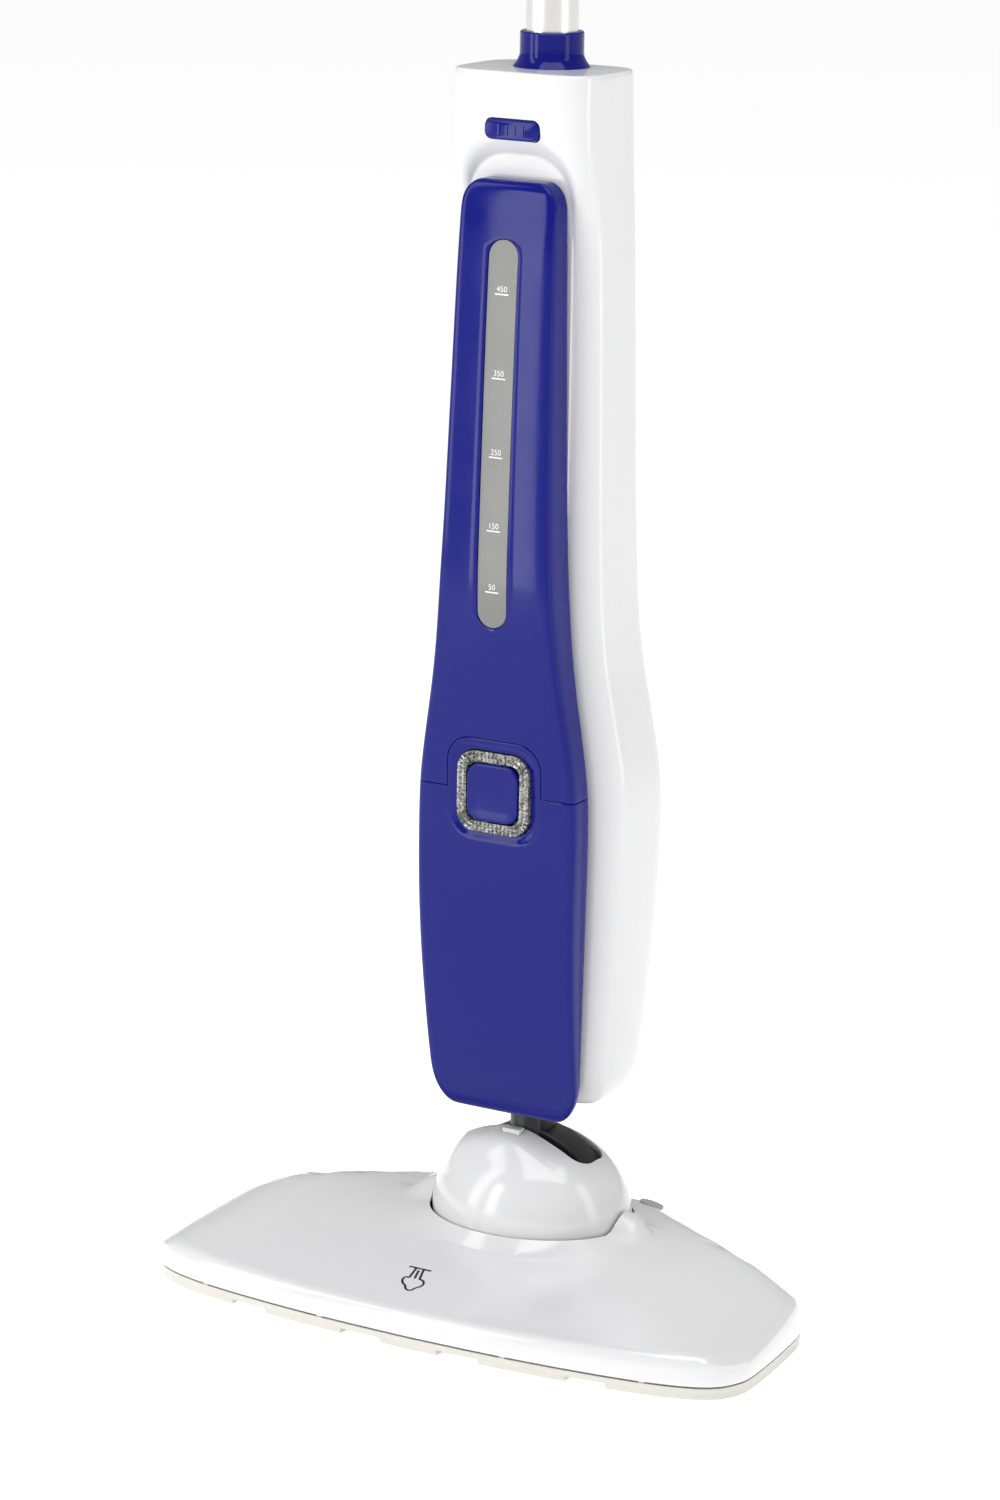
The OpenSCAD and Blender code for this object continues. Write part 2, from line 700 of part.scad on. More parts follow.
module power_button() {
    color(BLUE) union() {
        slab_y(-45.5, ring_back - 0.6 - power_travel, power_w, power_w, 7, lobe_z);
        slab_y(ring_back - 3, ring_back + 2.5 - power_travel, power_w - 2, power_w - 2, 5, lobe_z);
        along_y(ring_back, switch_y - power_travel - 0.3, 2.5, 0, lobe_z);
    }
}

board_y = -23.5;
switch_y = -29.5;
module power_switch() {
    color(BLACK) translate([-6, switch_y, lobe_z - 8]) cube([12, board_y - switch_y, 10.5]);
}

module circuit_board() {
    color([0.1, 0.4, 0.2]) difference() {
        translate([-24, board_y, lobe_z - 62]) cube([48, 1.6, 64]);
        for (x = [-20, 20]) {
            along_y(board_y - 1, board_y + 3, 1.5, x, lobe_z - 58);
        }
    }
    color([0.2, 0.2, 0.2]) for (p = [[-16, -22, 12], [4, -28, 14], [-10, -44, 10]]) {
        translate([p.x, board_y - 5, lobe_z + p.y]) cube([p.z, 5, 9]);
    }
}

hose_top = 136;
module boiler() {
    color(STEEL) difference() {
        union() {
            hull() {
                for (x = [-17, 17]) {
                    translate([x, 6, 142]) cylinder(h = 74, r = 13, $fn = 32);
                }
            }
            translate([0, 0, hose_top]) cylinder(h = 142 - hose_top, r = 4);
            translate([10, 6, 216]) cylinder(h = 7, r = 4);
        }
        translate([0, 0, 130]) cylinder(h = 14, r = 2);
        translate([10, 6, 212]) cylinder(h = 14, r = 2);
    }
}

module boiler_clamps() {
    color([0.5, 0.5, 0.52]) for (z = [158, 194]) {
        translate([0, 6, z]) linear_extrude(6) difference() {
            rounded_square(31.5, 14.5, 14);
            offset(r = 0.02, $fn = 32) hull() {
                for (x = [-17, 17]) {
                    translate([x, 0]) circle(r = 13, $fn = 32);
                }
            }
        }
    }
}

pump_z = 235;
module pump() {
    color([0.15, 0.15, 0.16]) union() {
        translate([-16, -8, pump_z]) cube([30, 26, 22]);
        translate([-1, 8, pump_z + 22]) cylinder(h = 6, r = 9);
        translate([10, 6, pump_z - 6]) cylinder(h = 6, r = 3.5);
        translate([-1, 13, pump_z + 28]) cylinder(h = 4, r = 3);
    }
}

module water_hose() {
    hose = [0.8, 0.8, 0.75];
    spigot_end = cradle_y + 10;
    color(hose) swept(smooth_path([[-1, 13, pump_z + 32], [-1, 13, pump_z + 37],
        [-1, 13, pump_z + 43], [-0.8, 14.5, pump_z + 53], [-0.3, 14.5, spigot_z - 4.5],
        [0, spigot_end + 5, spigot_z], [0, spigot_end + 2.5, spigot_z],
        [0, spigot_end, spigot_z]], 3), 3.2);
    color(hose) translate([10, 6, 223]) cylinder(h = pump_z - 6 - 223, r = 3.5);
}

module steam_hose() {
    color([0.55, 0.2, 0.15]) tube(neck_top, hose_top, 6.5, 4.2);
}

cradle_y = -5;
cradle_z0 = split_z + lobe_w + 2;
cradle_z1 = tank_top - 8;
module tank_cradle() {
    color(WHITE) difference() {
        translate([-27, front_back_y + 1, cradle_z0]) cube([54, cradle_y - front_back_y + 1,
            cradle_z1 - cradle_z0]);
        translate([-25, -60, cradle_z0 + 2]) cube([50, 60 + cradle_y, cradle_z1 - cradle_z0 - 4]);
        along_y(-20, 20, 5 + fit, 0, spigot_z);
    }
}

spigot_z = cradle_z0 + 14;
module inlet_spigot() {
    color(BLACK) difference() {
        union() {
            along_y(cradle_y - 9, cradle_y + 10, 5, 0, spigot_z);
            along_y(cradle_y + 2, cradle_y + 5, 8, 0, spigot_z);
        }
        along_y(-40, 40, 2.5, 0, spigot_z);
    }
}

// Hollow water vessel behind the blue tank front
tank_in_y = cradle_y - 0.6;
vessel_z0 = cradle_z0 + 2.6;
vessel_z1 = cradle_z1 - 2.6;
module vessel(w, front, y1, h, r) {
    slab_y(front, y1, w, h, r, (vessel_z0 + vessel_z1) / 2);
}

module tank_body() {
    h = (vessel_z1 - vessel_z0) / 2;
    color([0.75, 0.76, 0.76, 0.6]) difference() {
        union() {
            vessel(24.2, front_back_y, tank_in_y, h, 5);
            translate([-14, front_back_y - 7, vessel_z0 + 38]) cube([28, 8, 2 * h - 60]);
        }
        vessel(22.4, front_back_y + 1.8, tank_in_y - 1.8, h - 1.8, 3.5);
        translate([-12.4, front_back_y - 5.4, vessel_z0 + 39.6]) cube([24.8, 9, 2 * h - 63.2]);
        along_y(tank_in_y - 9, tank_in_y + 1, 7 + fit, 0, spigot_z);
        along_y(tank_in_y - 9, tank_in_y + 1, 9, 0, cap_z);
    }
}

cap_z = cradle_z1 - 30;
module outlet_seal() {
    color([0.2, 0.2, 0.2]) difference() {
        along_y(tank_in_y - 8, tank_in_y, 7, 0, spigot_z);
        along_y(tank_in_y - 30, tank_in_y + 10, 5 + 0.3, 0, spigot_z);
    }
}

module filler_cap() {
    color(BLUE) difference() {
        along_y(tank_in_y - 7, tank_in_y - 0.4, 8.9, 0, cap_z);
        // Finger bar across the cap
        for (s = [-1, 1]) {
            translate([s * 4.6 - 2.6, tank_in_y - 4, cap_z - 6]) cube([5.2, 5, 12]);
        }
    }
}

module cap_seal() {
    color([0.2, 0.2, 0.2]) difference() {
        along_y(tank_in_y - 8.6, tank_in_y - 7.05, 10.5, 0, cap_z);
        along_y(tank_in_y - 20, tank_in_y, 7, 0, cap_z);
    }
}

scoop_w = 29;
scoop_top = 572;
scoop_y = -25;
// Arched recess above the tank
module scoop(y0, y1, grow) {
    translate([0, y1, 0]) rotate([90, 0, 0]) linear_extrude(y1 - y0) hull() {
        for (s = [-1, 1]) {
            translate([s * (scoop_w - 12), scoop_top - 12]) circle(r = 12 + grow, $fn = 32);
            translate([s * (scoop_w - 2), tank_top - 40]) circle(r = 2 + grow, $fn = 32);
        }
    }
}

module front_shell() {
    color(WHITE) difference() {
        union() {
            shell_half(-1);
            intersection() {
                half_body(-1, 0.3, 0);
                difference() {
                    scoop(-60, scoop_y + 2.5, 2.5);
                    translate([-100, -100, 0]) cube([200, 200, cradle_z1]);
                }
            }
            // Lugs that hold the latch pin, on the back of the recess
            for (s = [-1, 1]) {
                translate([s * 14.5 - 1.5, scoop_y + 2.4, lever_z - 4.5])
                    cube([3, lever_y + 3 - scoop_y - 2.4, 9]);
            }
        }
        along_x(-20, 20, lever_pin_r + fit, lever_y, lever_z);
        scoop(-70, scoop_y, 0);
        // Opening for the tank cradle
        translate([-27 - fit, -60, cradle_z0 - fit]) cube([54 + 2 * fit, 60 + cradle_y + 1 + fit,
            cradle_z1 - cradle_z0 + 2 * fit]);
        // Opening behind the lower cover
        translate([0, -15, (cradle_z0 + body_bottom + 27) / 2 - 1]) rotate([90, 0, 0])
            linear_extrude(40) rounded_square(33, (cradle_z0 - body_bottom - 31) / 2, 8);
        // Slot for the tank's catch tab
        translate([-6.6, -40, cradle_z1 - 1]) cube([13.2, 30, 6.6]);
        slab_y(-60, -15, push_w + 0.35, push_h / 2 + 0.35, 4, push_z);
    }
}

module rear_shell() {
    color(WHITE) difference() {
        shell_half(1);
        for (p = shell_screws, s = [-1, 1]) {
            along_y(parting_y - 1, 60, screw_r + 0.3, s * p.x, p.y, $fn = 16);
            along_y(back_y(p.x, p.y) - head_depth, 60, 3.8, s * p.x, p.y, $fn = 20);
        }
        along_y(10, 40, gland_r + fit, 0, gland_z);
    }
}

module body_screws() {
    color(STEEL) for (p = shell_screws, s = [-1, 1]) {
        y = back_y(p.x, p.y) - head_depth;
        along_y(y, y + 2, 3.4, s * p.x, p.y);
        along_y(parting_y + 0.5, y + 1, screw_r, s * p.x, p.y);
    }
}

module window_prism(grow) {
    h = (window_z1 - window_z0) / 2;
    slab_y(-80, front_back_y - 7, window_w + grow, h + grow, window_w - 0.1 + grow,
        (window_z0 + window_z1) / 2);
}

tab_z = cradle_z1 + 0.5;
module tank_shell() {
    color(BLUE) difference() {
        union() {
            intersection() {
                blue_skin();
                translate([-80, -80, split_z + tank_gap]) cube([160, 160, 400]);
            }
            // Back wall of the tank front
            intersection() {
                blue_solid(1);
                difference() {
                    translate([-80, front_back_y - 2.2, split_z + tank_gap]) cube([160, 2, 400]);
                    translate([-15, -60, vessel_z0 + 37]) cube([30, 60,
                        vessel_z1 - vessel_z0 - 58]);
                }
            }
            // Catch tab with its tooth
            translate([-6, front_back_y - 1, tab_z]) cube([12, 15, 2.5]);
            translate([-6, front_back_y + 11, tab_z + 2.4]) cube([12, 3, 2.1]);
        }
        lobe_prism(tank_gap);
        window_prism(fit);
    }
}

module tank_window() {
    color([0.62, 0.62, 0.6, 0.7]) intersection() {
        blue_skin();
        window_prism(0);
    }
}

module release_button() {
    color(BLUE) union() {
        slab_y(push_face, push_face + 9, push_w, push_h / 2, 3.8, push_z);
        slab_y(push_face + 8, push_face + 10, push_w + 1.5, push_h / 2 + 0.6, 4, push_z);
        along_y(push_face + 9, lever_y - 2.3, 2.5, 0, push_z);
    }
}

push_face = -37.2;
lever_y = -5.5;
lever_z = push_z - 14;
lever_w = 5;
lever_pin_r = 1.5;
module latch_lever() {
    top = push_z + 4;
    nose = tab_z + 2.9;
    color(BLACK) difference() {
        translate([-lever_w, 0, 0]) rotate([90, 0, 90]) linear_extrude(2 * lever_w) polygon([
            [lever_y - 2, top], [lever_y - 2, lever_z + 3], [lever_y - 13.6, lever_z - 4],
            [lever_y - 13.6, nose], [lever_y - 9.6, nose], [lever_y - 9.6, lever_z - 5],
            [lever_y - 2, lever_z - 4], [lever_y + 3, lever_z - 3], [lever_y + 3, lever_z + 3],
            [lever_y + 1, top]]);
        along_x(-20, 20, lever_pin_r + run_gap, lever_y, lever_z);
    }
}

module latch_pin() {
    color(STEEL) along_x(-16, 16, lever_pin_r, lever_y, lever_z);
}

// Torsion spring on the latch pin
module release_spring() {
    coil_r = 3.2;
    wire_r = 0.5;
    turns = 5;
    steps = turns * 14;
    color(STEEL) swept([for (i = [0 : steps]) let (a = 360 * turns * i / steps)
        [5.8 + 1.15 * turns * i / steps, lever_y + coil_r * cos(a), lever_z + coil_r * sin(a)]],
        wire_r, 6);
}

// ---------- tube and handle ----------
module tube(z0, z1, r, wall) {
    translate([0, 0, z0]) difference() {
        cylinder(h = z1 - z0, r = r);
        translate([0, 0, -1]) cylinder(h = z1 - z0 + 2, r = r - wall);
    }
}

module turned(points) {
    rotate_extrude($fn = 64) polygon(points);
}

module tube_collar() {
    r0 = tube_r + fit;
    collar_r = tube_r + collar_wall;
    color(BLUE) turned([[r0, body_top], [collar_r + 3.2, body_top],
        [collar_r + 2.6, body_top + 0.9], [collar_r + 1.6, body_top + 2.2],
        [collar_r + 0.8, body_top + 3.6], [collar_r + 0.2, body_top + 5.2],
        [collar_r, body_top + 7], [collar_r, body_top + 16.2],
        [collar_r - 0.6, body_top + 16.8], [r0, body_top + 16.8]]);
}

joiner_h = 26;
module lower_tube() {
    color(STEEL) tube(body_top - tube_in, joint_z - 0.4, tube_r, tube_wall);
}

module tube_joiner() {
    inner = tube_r - tube_wall - fit;
    color(BLUE) union() {
        tube(joint_z - joiner_h, joint_z + joiner_h, inner, 1.6);
        tube(joint_z - 0.4 + fit, joint_z + 6, tube_r + 1.6, 1.6 + tube_wall + 1.7);
        tube(joint_z + 5, joint_z + 8, tube_r + 1.6, 1.6 - fit);
    }
}

module upper_tube() {
    color(STEEL) tube(joint_z + 6 + fit, handle_z + 44, tube_r, tube_wall);
}

hang_z = total_h - 17;
hang_r = 5.5;
// Solid of the grip, from its collar to the rounded end
module grip_solid() {
    turned([[0, handle_z], [tube_r + 2, handle_z], [tube_r + 3, handle_z + 1],
        [tube_r + 3.4, handle_z + 10], [grip_r - 2.2, handle_z + 34], [grip_r, handle_z + 62],
        [grip_r - 0.6, handle_z + 96], [grip_r - 2.2, handle_z + 128],
        [grip_r - 1.4, total_h - 36], [grip_r - 0.6, total_h - 20], [grip_r - 2, total_h - 9],
        [grip_r - 5, total_h - 3], [grip_r - 9, total_h], [0, total_h]]);
}

module grip_half(side) {
    difference() {
        intersection() {
            grip_solid();
            translate([-50, side < 0 ? -50 : 0, handle_z - 5]) cube([100, 50, 400]);
        }
        translate([0, 0, handle_z - 5]) cylinder(h = 49 + fit, r = tube_r + fit);
        along_y(-60, 60, hang_r, 0, hang_z);
        for (z = handle_screw_zs) {
            along_y(-12, 12, screw_r + 0.1, 0, z);
            along_y(9, 60, 3.6, 0, z);
        }
        // Groove that seats the soft sleeve
        difference() {
            translate([0, 0, sleeve_z0]) cylinder(h = sleeve_h, r = grip_r + 5);
            translate([0, 0, sleeve_z0 - 1]) cylinder(h = sleeve_h + 2, r = grip_r - 3);
        }
    }
}

sleeve_z0 = handle_z + 56;
sleeve_h = 56;
handle_screw_zs = [handle_z + 50, hang_z - 16];

module handle_front() {
    color(BLUE) grip_half(-1);
}

module handle_back() {
    color(WHITE) grip_half(1);
}

module handle_sleeve() {
    color(BLACK) difference() {
        turned([[grip_r - 3 + fit, sleeve_z0 + fit], [grip_r + 0.4, sleeve_z0 + fit],
            [grip_r + 0.8, sleeve_z0 + 12], [grip_r + 0.6, sleeve_z0 + 40],
            [grip_r - 0.6, sleeve_z0 + sleeve_h - fit],
            [grip_r - 3 + fit, sleeve_z0 + sleeve_h - fit]]);
        for (i = [0 : 5]) {
            translate([0, 0, sleeve_z0 + 8 + 8 * i]) rotate_extrude($fn = 64)
                translate([grip_r + 1.5, 0]) circle(r = 1.6, $fn = 16);
        }
    }
}

module handle_screws() {
    color(STEEL) for (z = handle_screw_zs) {
        along_y(9, 11, 3.3, 0, z);
        along_y(-8, 10, screw_r, 0, z);
    }
}

gland_z = 520;
gland_r = 7;
gland_bore = 3.6;
module cord_gland() {
    y0 = station(back_line, gland_z) - 8;
    color(BLACK) difference() {
        union() {
            along_y(y0, y0 + 12, gland_r, 0, gland_z);
            along_y(y0 + 8, y0 + 10.5, gland_r + 2.5, 0, gland_z);
            translate([0, y0 + 12 - eps, gland_z]) rotate([-90, 0, 0])
                cylinder(h = 16, r1 = gland_r - 0.8, r2 = gland_bore + 1.6);
        }
        along_y(0, 80, gland_bore, 0, gland_z);
    }
}

hook_w = 7;
lower_hook_z = 668;
upper_hook_z = 942;
module hook_ring(z) {
    difference() {
        union() {
            translate([0, 0, z - 9]) cylinder(h = 18, r = tube_r + 3);
            translate([-hook_w, 6, z - 9]) cube([2 * hook_w, 14, 18]);
        }
        translate([0, 0, z - 20]) cylinder(h = 40, r = tube_r + fit);
    }
}

// Cord hooks: a tongue to the rear with a tip that turns away along Z
module lower_hook() {
    color(BLUE) union() {
        hook_ring(lower_hook_z);
        difference() {
            translate([-hook_w, 0, lower_hook_z]) rotate([90, 0, 90])
                linear_extrude(2 * hook_w) polygon([[18, 5], [48, 5], [54, -1], [56, -26],
                [52, -28], [49, -26], [48, -6], [18, -5]]);
            translate([0, 0, lower_hook_z - 40]) cylinder(h = 80, r = tube_r + 1);
        }
    }
}

module hook_stud() {
    color(BLUE) union() {
        hook_ring(upper_hook_z);
        along_y(19, 28, 4, 0, upper_hook_z);
        along_y(28 - eps, 30, 5, 0, upper_hook_z);
    }
}

module upper_hook() {
    color(BLUE) difference() {
        union() {
            along_y(20.4, 27.6, 9, 0, upper_hook_z);
            translate([-hook_w, 0, upper_hook_z]) rotate([90, 0, 90])
                linear_extrude(2 * hook_w) polygon([[20.4, 6], [27.6, 6], [29, 10], [50, 11],
                [54, 15], [55, 34], [51, 36], [48, 33], [47, 17], [27, 16.5], [20.4, 15]]);
        }
        along_y(15, 32, 4 + 0.06, 0, upper_hook_z);
        along_y(27.8, 32, 6, 0, upper_hook_z);
    }
}

head_cover();
base_plate();
sole_rails();
nozzle_plate();
steam_manifold();
manifold_gasket();
steam_riser();
bracket_left();
bracket_right();
trunnion_pins();
head_screws();
lobe_plug();
dome();
swivel_pin();
park_latch();
neck();
swivel_disc();
front_shell();
rear_shell();
lower_cover();
light_ring();
circuit_board();
power_switch();
boiler();
boiler_clamps();
pump();
water_hose();
steam_hose();
tank_cradle();
inlet_spigot();
tank_shell();
tank_window();
tank_body();
outlet_seal();
filler_cap();
cap_seal();
power_button();
release_button();
release_spring();
latch_lever();
latch_pin();
tube_collar();
lower_tube();
tube_joiner();
upper_tube();
handle_front();
handle_back();
handle_sleeve();
cord_gland();
lower_hook();
upper_hook();
hook_stud();
body_screws();
handle_screws();
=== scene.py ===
# Upright steam mop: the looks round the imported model. Metres, +Z up, +Y to the rear.
import json
import math

import bmesh
import bpy
from mathutils import Matrix, Vector

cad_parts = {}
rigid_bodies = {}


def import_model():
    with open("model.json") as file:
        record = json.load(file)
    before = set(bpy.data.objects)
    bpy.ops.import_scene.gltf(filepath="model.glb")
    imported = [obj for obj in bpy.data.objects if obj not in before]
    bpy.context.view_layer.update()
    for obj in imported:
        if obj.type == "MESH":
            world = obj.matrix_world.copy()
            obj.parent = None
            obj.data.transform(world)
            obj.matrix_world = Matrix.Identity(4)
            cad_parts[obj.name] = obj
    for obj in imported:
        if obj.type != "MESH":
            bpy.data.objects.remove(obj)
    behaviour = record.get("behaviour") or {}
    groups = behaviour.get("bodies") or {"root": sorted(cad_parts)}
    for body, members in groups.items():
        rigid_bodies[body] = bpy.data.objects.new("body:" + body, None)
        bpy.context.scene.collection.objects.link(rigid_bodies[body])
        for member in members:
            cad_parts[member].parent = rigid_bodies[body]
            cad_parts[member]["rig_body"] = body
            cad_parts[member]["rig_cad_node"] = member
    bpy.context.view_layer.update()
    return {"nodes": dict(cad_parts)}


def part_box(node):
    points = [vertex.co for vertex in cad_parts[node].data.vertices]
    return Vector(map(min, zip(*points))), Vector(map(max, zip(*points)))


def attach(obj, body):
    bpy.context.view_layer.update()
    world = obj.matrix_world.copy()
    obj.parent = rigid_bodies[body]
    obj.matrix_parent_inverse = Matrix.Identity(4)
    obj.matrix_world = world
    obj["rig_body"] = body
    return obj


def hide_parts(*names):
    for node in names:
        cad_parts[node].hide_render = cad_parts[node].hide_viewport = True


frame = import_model()
nodes = frame["nodes"]
MM = 0.001

# ---------- places taken from the frame ----------
head_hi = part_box("head_cover")[1]
dome_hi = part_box("dome")[1]
front_lo, front_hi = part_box("front_shell")
cover_lo, cover_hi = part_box("lower_cover")
tank_lo, tank_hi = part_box("tank_shell")
window_lo, window_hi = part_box("tank_window")
ring_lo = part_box("light_ring")[0]
key_lo, key_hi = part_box("power_button")
push_lo, push_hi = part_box("release_button")
latch_lo, latch_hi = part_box("park_latch")
pin_lo, pin_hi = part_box("swivel_pin")

axis_z = (pin_lo.z + pin_hi.z) / 2
body_bottom = front_lo.z
body_top = front_hi.z
body_w = front_hi.x
parting_y = front_hi.y
split_z = tank_lo.z - 0.4 * MM
tank_top = tank_hi.z
front_bottom = cover_lo.z
front_w = cover_hi.x
seat_y = -25.5 * MM
body_top_w = 39.5 * MM
tank_top_w = 25.8 * MM
body_front = 24 * MM
body_back = 30 * MM
belly_z = split_z - 4 * MM
dome_x = 52 * MM
dome_r = dome_hi.y


# ---------- working by hand: picking, placing, finishing ----------
def clear():
    if bpy.context.object and bpy.context.object.mode != "OBJECT":
        bpy.ops.object.mode_set(mode="OBJECT")
    bpy.ops.object.select_all(action="DESELECT")


def take(piece):
    clear()
    piece.hide_viewport = False
    piece.select_set(True)
    bpy.context.view_layer.objects.active = piece
    return piece


def name_it(name):
    piece = bpy.context.object
    piece.name = name
    piece.data.name = name
    bpy.ops.object.transform_apply(location=True, rotation=True, scale=True)
    return piece


def edit(kind="FACE"):
    bpy.ops.object.mode_set(mode="EDIT")
    bpy.ops.mesh.select_mode(type=kind)


def done():
    bpy.ops.object.mode_set(mode="OBJECT")


def pick(kind, test):
    """Selects only the faces, edges or verts that pass the test."""
    mesh = bpy.context.object.data
    bpy.ops.mesh.select_all(action="DESELECT")
    work = bmesh.from_edit_mesh(mesh)
    for item in getattr(work, kind):
        if test(item):
            item.select_set(True)
    bmesh.update_edit_mesh(mesh)


def upright(edge):
    run = edge.verts[1].co - edge.verts[0].co
    return abs(run.z) > 0.9 * run.length


def fit_modifier(piece, kind, **values):
    take(piece)
    tool = piece.modifiers.new(kind.title(), kind)
    for key, value in values.items():
        setattr(tool, key, value)
    bpy.ops.object.modifier_apply(modifier=tool.name)
    return piece


def smooth(piece, angle=35):
    take(piece)
    bpy.ops.object.shade_smooth_by_angle(angle=math.radians(angle))
    return piece


def round_off(piece, levels=2):
    return fit_modifier(piece, "SUBSURF", levels=levels, render_levels=levels)


def soften(piece, width, segments=3, angle=40):
    return fit_modifier(piece, "BEVEL", width=width, segments=segments, limit_method="ANGLE",
                        angle_limit=math.radians(angle), use_clamp_overlap=True)


def carve(piece, cutter, how="DIFFERENCE", keep=False):
    fit_modifier(piece, "BOOLEAN", object=cutter, operation=how, solver="EXACT")
    if not keep:
        bpy.data.objects.remove(cutter)
    return piece


def twin(piece, name):
    copy = piece.copy()
    copy.data = piece.data.copy()
    copy.name = name
    bpy.context.scene.collection.objects.link(copy)
    return take(copy)


def tidy_normals(piece):
    take(piece)
    edit()
    bpy.ops.mesh.select_all(action="SELECT")
    bpy.ops.mesh.remove_doubles(threshold=0.00001)
    bpy.ops.mesh.normals_make_consistent(inside=False)
    done()
    return piece


def merged_copy(node, name):
    """The node's own shape with its doubles merged."""
    copy = nodes[node].copy()
    copy.data = nodes[node].data.copy()
    copy.name = name
    copy.parent = None
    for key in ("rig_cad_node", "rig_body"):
        if key in copy:
            del copy[key]
    bpy.context.scene.collection.objects.link(copy)
    take(copy)
    edit()
    bpy.ops.mesh.customdata_custom_splitnormals_clear()
    bpy.ops.mesh.select_all(action="SELECT")
    bpy.ops.mesh.remove_doubles(threshold=0.00002)
    done()
    return copy


def dress(piece, body, material, slot, *stands_for):
    piece.data.materials.clear()
    piece.data.materials.append(material)
    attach(piece, body)
    if stands_for:
        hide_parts(*stands_for)
    return piece


def curve_at(stations, x):
    """Smooth curve value at x through (x, value) stations."""
    if x <= stations[0][0]:
        return stations[0][1]
    if x >= stations[-1][0]:
        return stations[-1][1]
    i = max(k for k in range(len(stations) - 1) if x >= stations[k][0])
    a, b = stations[i], stations[i + 1]
    before = stations[max(i - 1, 0)]
    after = stations[min(i + 2, len(stations) - 1)]
    h = b[0] - a[0]
    t = (x - a[0]) / h
    m0 = (b[1] - before[1]) / (b[0] - before[0])
    m1 = (after[1] - a[1]) / (after[0] - a[0])
    return ((2 * t**3 - 3 * t**2 + 1) * a[1] + (t**3 - 2 * t**2 + t) * h * m0
            + (3 * t**2 - 2 * t**3) * b[1] + (t**3 - t**2) * h * m1)


def lerp(a, b, t):
    return a + (b - a) * t


# ---------- shapes the CAD part is drawn with ----------
def up(t):
    return lerp(belly_z, body_top, t)


def down(t):
    return lerp(belly_z, body_bottom, t)


width_line = [(down(1), body_w - 10.5 * MM), (down(0.72), body_w - 5.5 * MM),
              (down(0.3), body_w - 1 * MM), (belly_z, body_w), (up(0.1), body_w - 5.5 * MM),
              (up(0.2), body_w - 12 * MM), (up(0.32), lerp(body_w, body_top_w, 0.76)),
              (up(0.6), body_top_w + 2.4 * MM), (up(1), body_top_w)]
front_line = [(down(1), body_front - 1.5 * MM), (belly_z, body_front - 0.5 * MM),
              (up(0.2), body_front + 0.5 * MM), (up(0.78), body_front + 0.5 * MM),
              (up(0.86), body_front + 8.5 * MM), (up(0.92), body_front + 12 * MM),
              (up(1), body_front + 11 * MM)]
back_line = [(down(1), body_back - 8 * MM), (down(0.6), body_back - 2 * MM),
             (belly_z, body_back + 1 * MM), (up(0.25), body_back - 3 * MM),
             (up(1), body_back - 9 * MM)]
blue_w_line = [(front_bottom, front_w - 3.2 * MM),
               (lerp(front_bottom, split_z, 0.6), front_w - 0.5 * MM),
               (split_z - 4 * MM, front_w), (split_z + 22 * MM, front_w - 3 * MM),
               (split_z + 52 * MM, front_w - 8 * MM), (split_z + 85 * MM, front_w - 11.8 * MM),
               (split_z + 140 * MM, lerp(front_w, tank_top_w, 0.80)), (tank_top, tank_top_w)]
blue_y_line = [(front_bottom, 29 * MM), (lerp(front_bottom, split_z, 0.25), 37 * MM),
               (lerp(front_bottom, split_z, 0.6), 43.6 * MM), (split_z, 44 * MM),
               (split_z + 85 * MM, 48.4 * MM), (split_z + 105 * MM, 49 * MM),
               (split_z + 240 * MM, 44 * MM), (tank_top - 8 * MM, 40.5 * MM),
               (tank_top + 1 * MM, 38 * MM)]


def draw_up(name, rings, corner, crown):
    """Moulded form drawn up ring by ring. A ring is (z, half width, front y, back y)."""
    z = rings[0][0]
    w, f, b = max(rings, key=lambda ring: ring[3] - ring[2])[1:]
    clear()
    bpy.ops.mesh.primitive_cube_add(size=1, location=(0, (f + b) / 2, z - 0.0001),
                                    scale=(2 * w, b - f, 0.0002))
    piece = name_it(name)
    edit("EDGE")
    pick("edges", upright)
    bpy.ops.mesh.bevel(offset=corner, segments=3, profile=0.5)
    bpy.ops.mesh.select_all(action="SELECT")
    bpy.ops.mesh.bisect(plane_co=(0, 0, 0), plane_no=(1, 0, 0))
    if crown:
        pick("verts", lambda v: abs(v.co.x) < 1e-5 and v.co.y < (f + b) / 2)
        bpy.ops.transform.translate(value=(0, -crown, 0))
    bpy.ops.mesh.select_all(action="SELECT")
    start = rings[0]
    bpy.ops.transform.translate(value=(0, (start[2] + start[3] - f - b) / 2, 0.0001))
    bpy.ops.transform.resize(value=(start[1] / w, (start[3] - start[2]) / (b - f), 0),
                             center_override=(0, (start[2] + start[3]) / 2, z))
    w, f, b = start[1:]
    bpy.ops.mesh.select_mode(type="FACE")
    pick("faces", lambda face: len(face.verts) > 4)
    bpy.ops.mesh.delete(type="FACE")
    bpy.ops.mesh.select_mode(type="EDGE")
    bpy.ops.mesh.select_all(action="SELECT")
    bpy.ops.mesh.remove_doubles(threshold=0.00001)
    bpy.ops.mesh.edge_face_add()
    bpy.ops.mesh.select_mode(type="FACE")
    bpy.ops.mesh.select_all(action="SELECT")
    for z2, w2, f2, b2 in rings[1:]:
        shift = (f2 + b2 - f - b) / 2
        bpy.ops.mesh.extrude_region_move(TRANSFORM_OT_translate={"value": (0, shift, z2 - z)})
        bpy.ops.transform.resize(value=(w2 / w, (b2 - f2) / (b - f), 1),
                                 center_override=(0, (f2 + b2) / 2, z2))
        z, w, f, b = z2, w2, f2, b2
    done()
    return tidy_normals(piece)


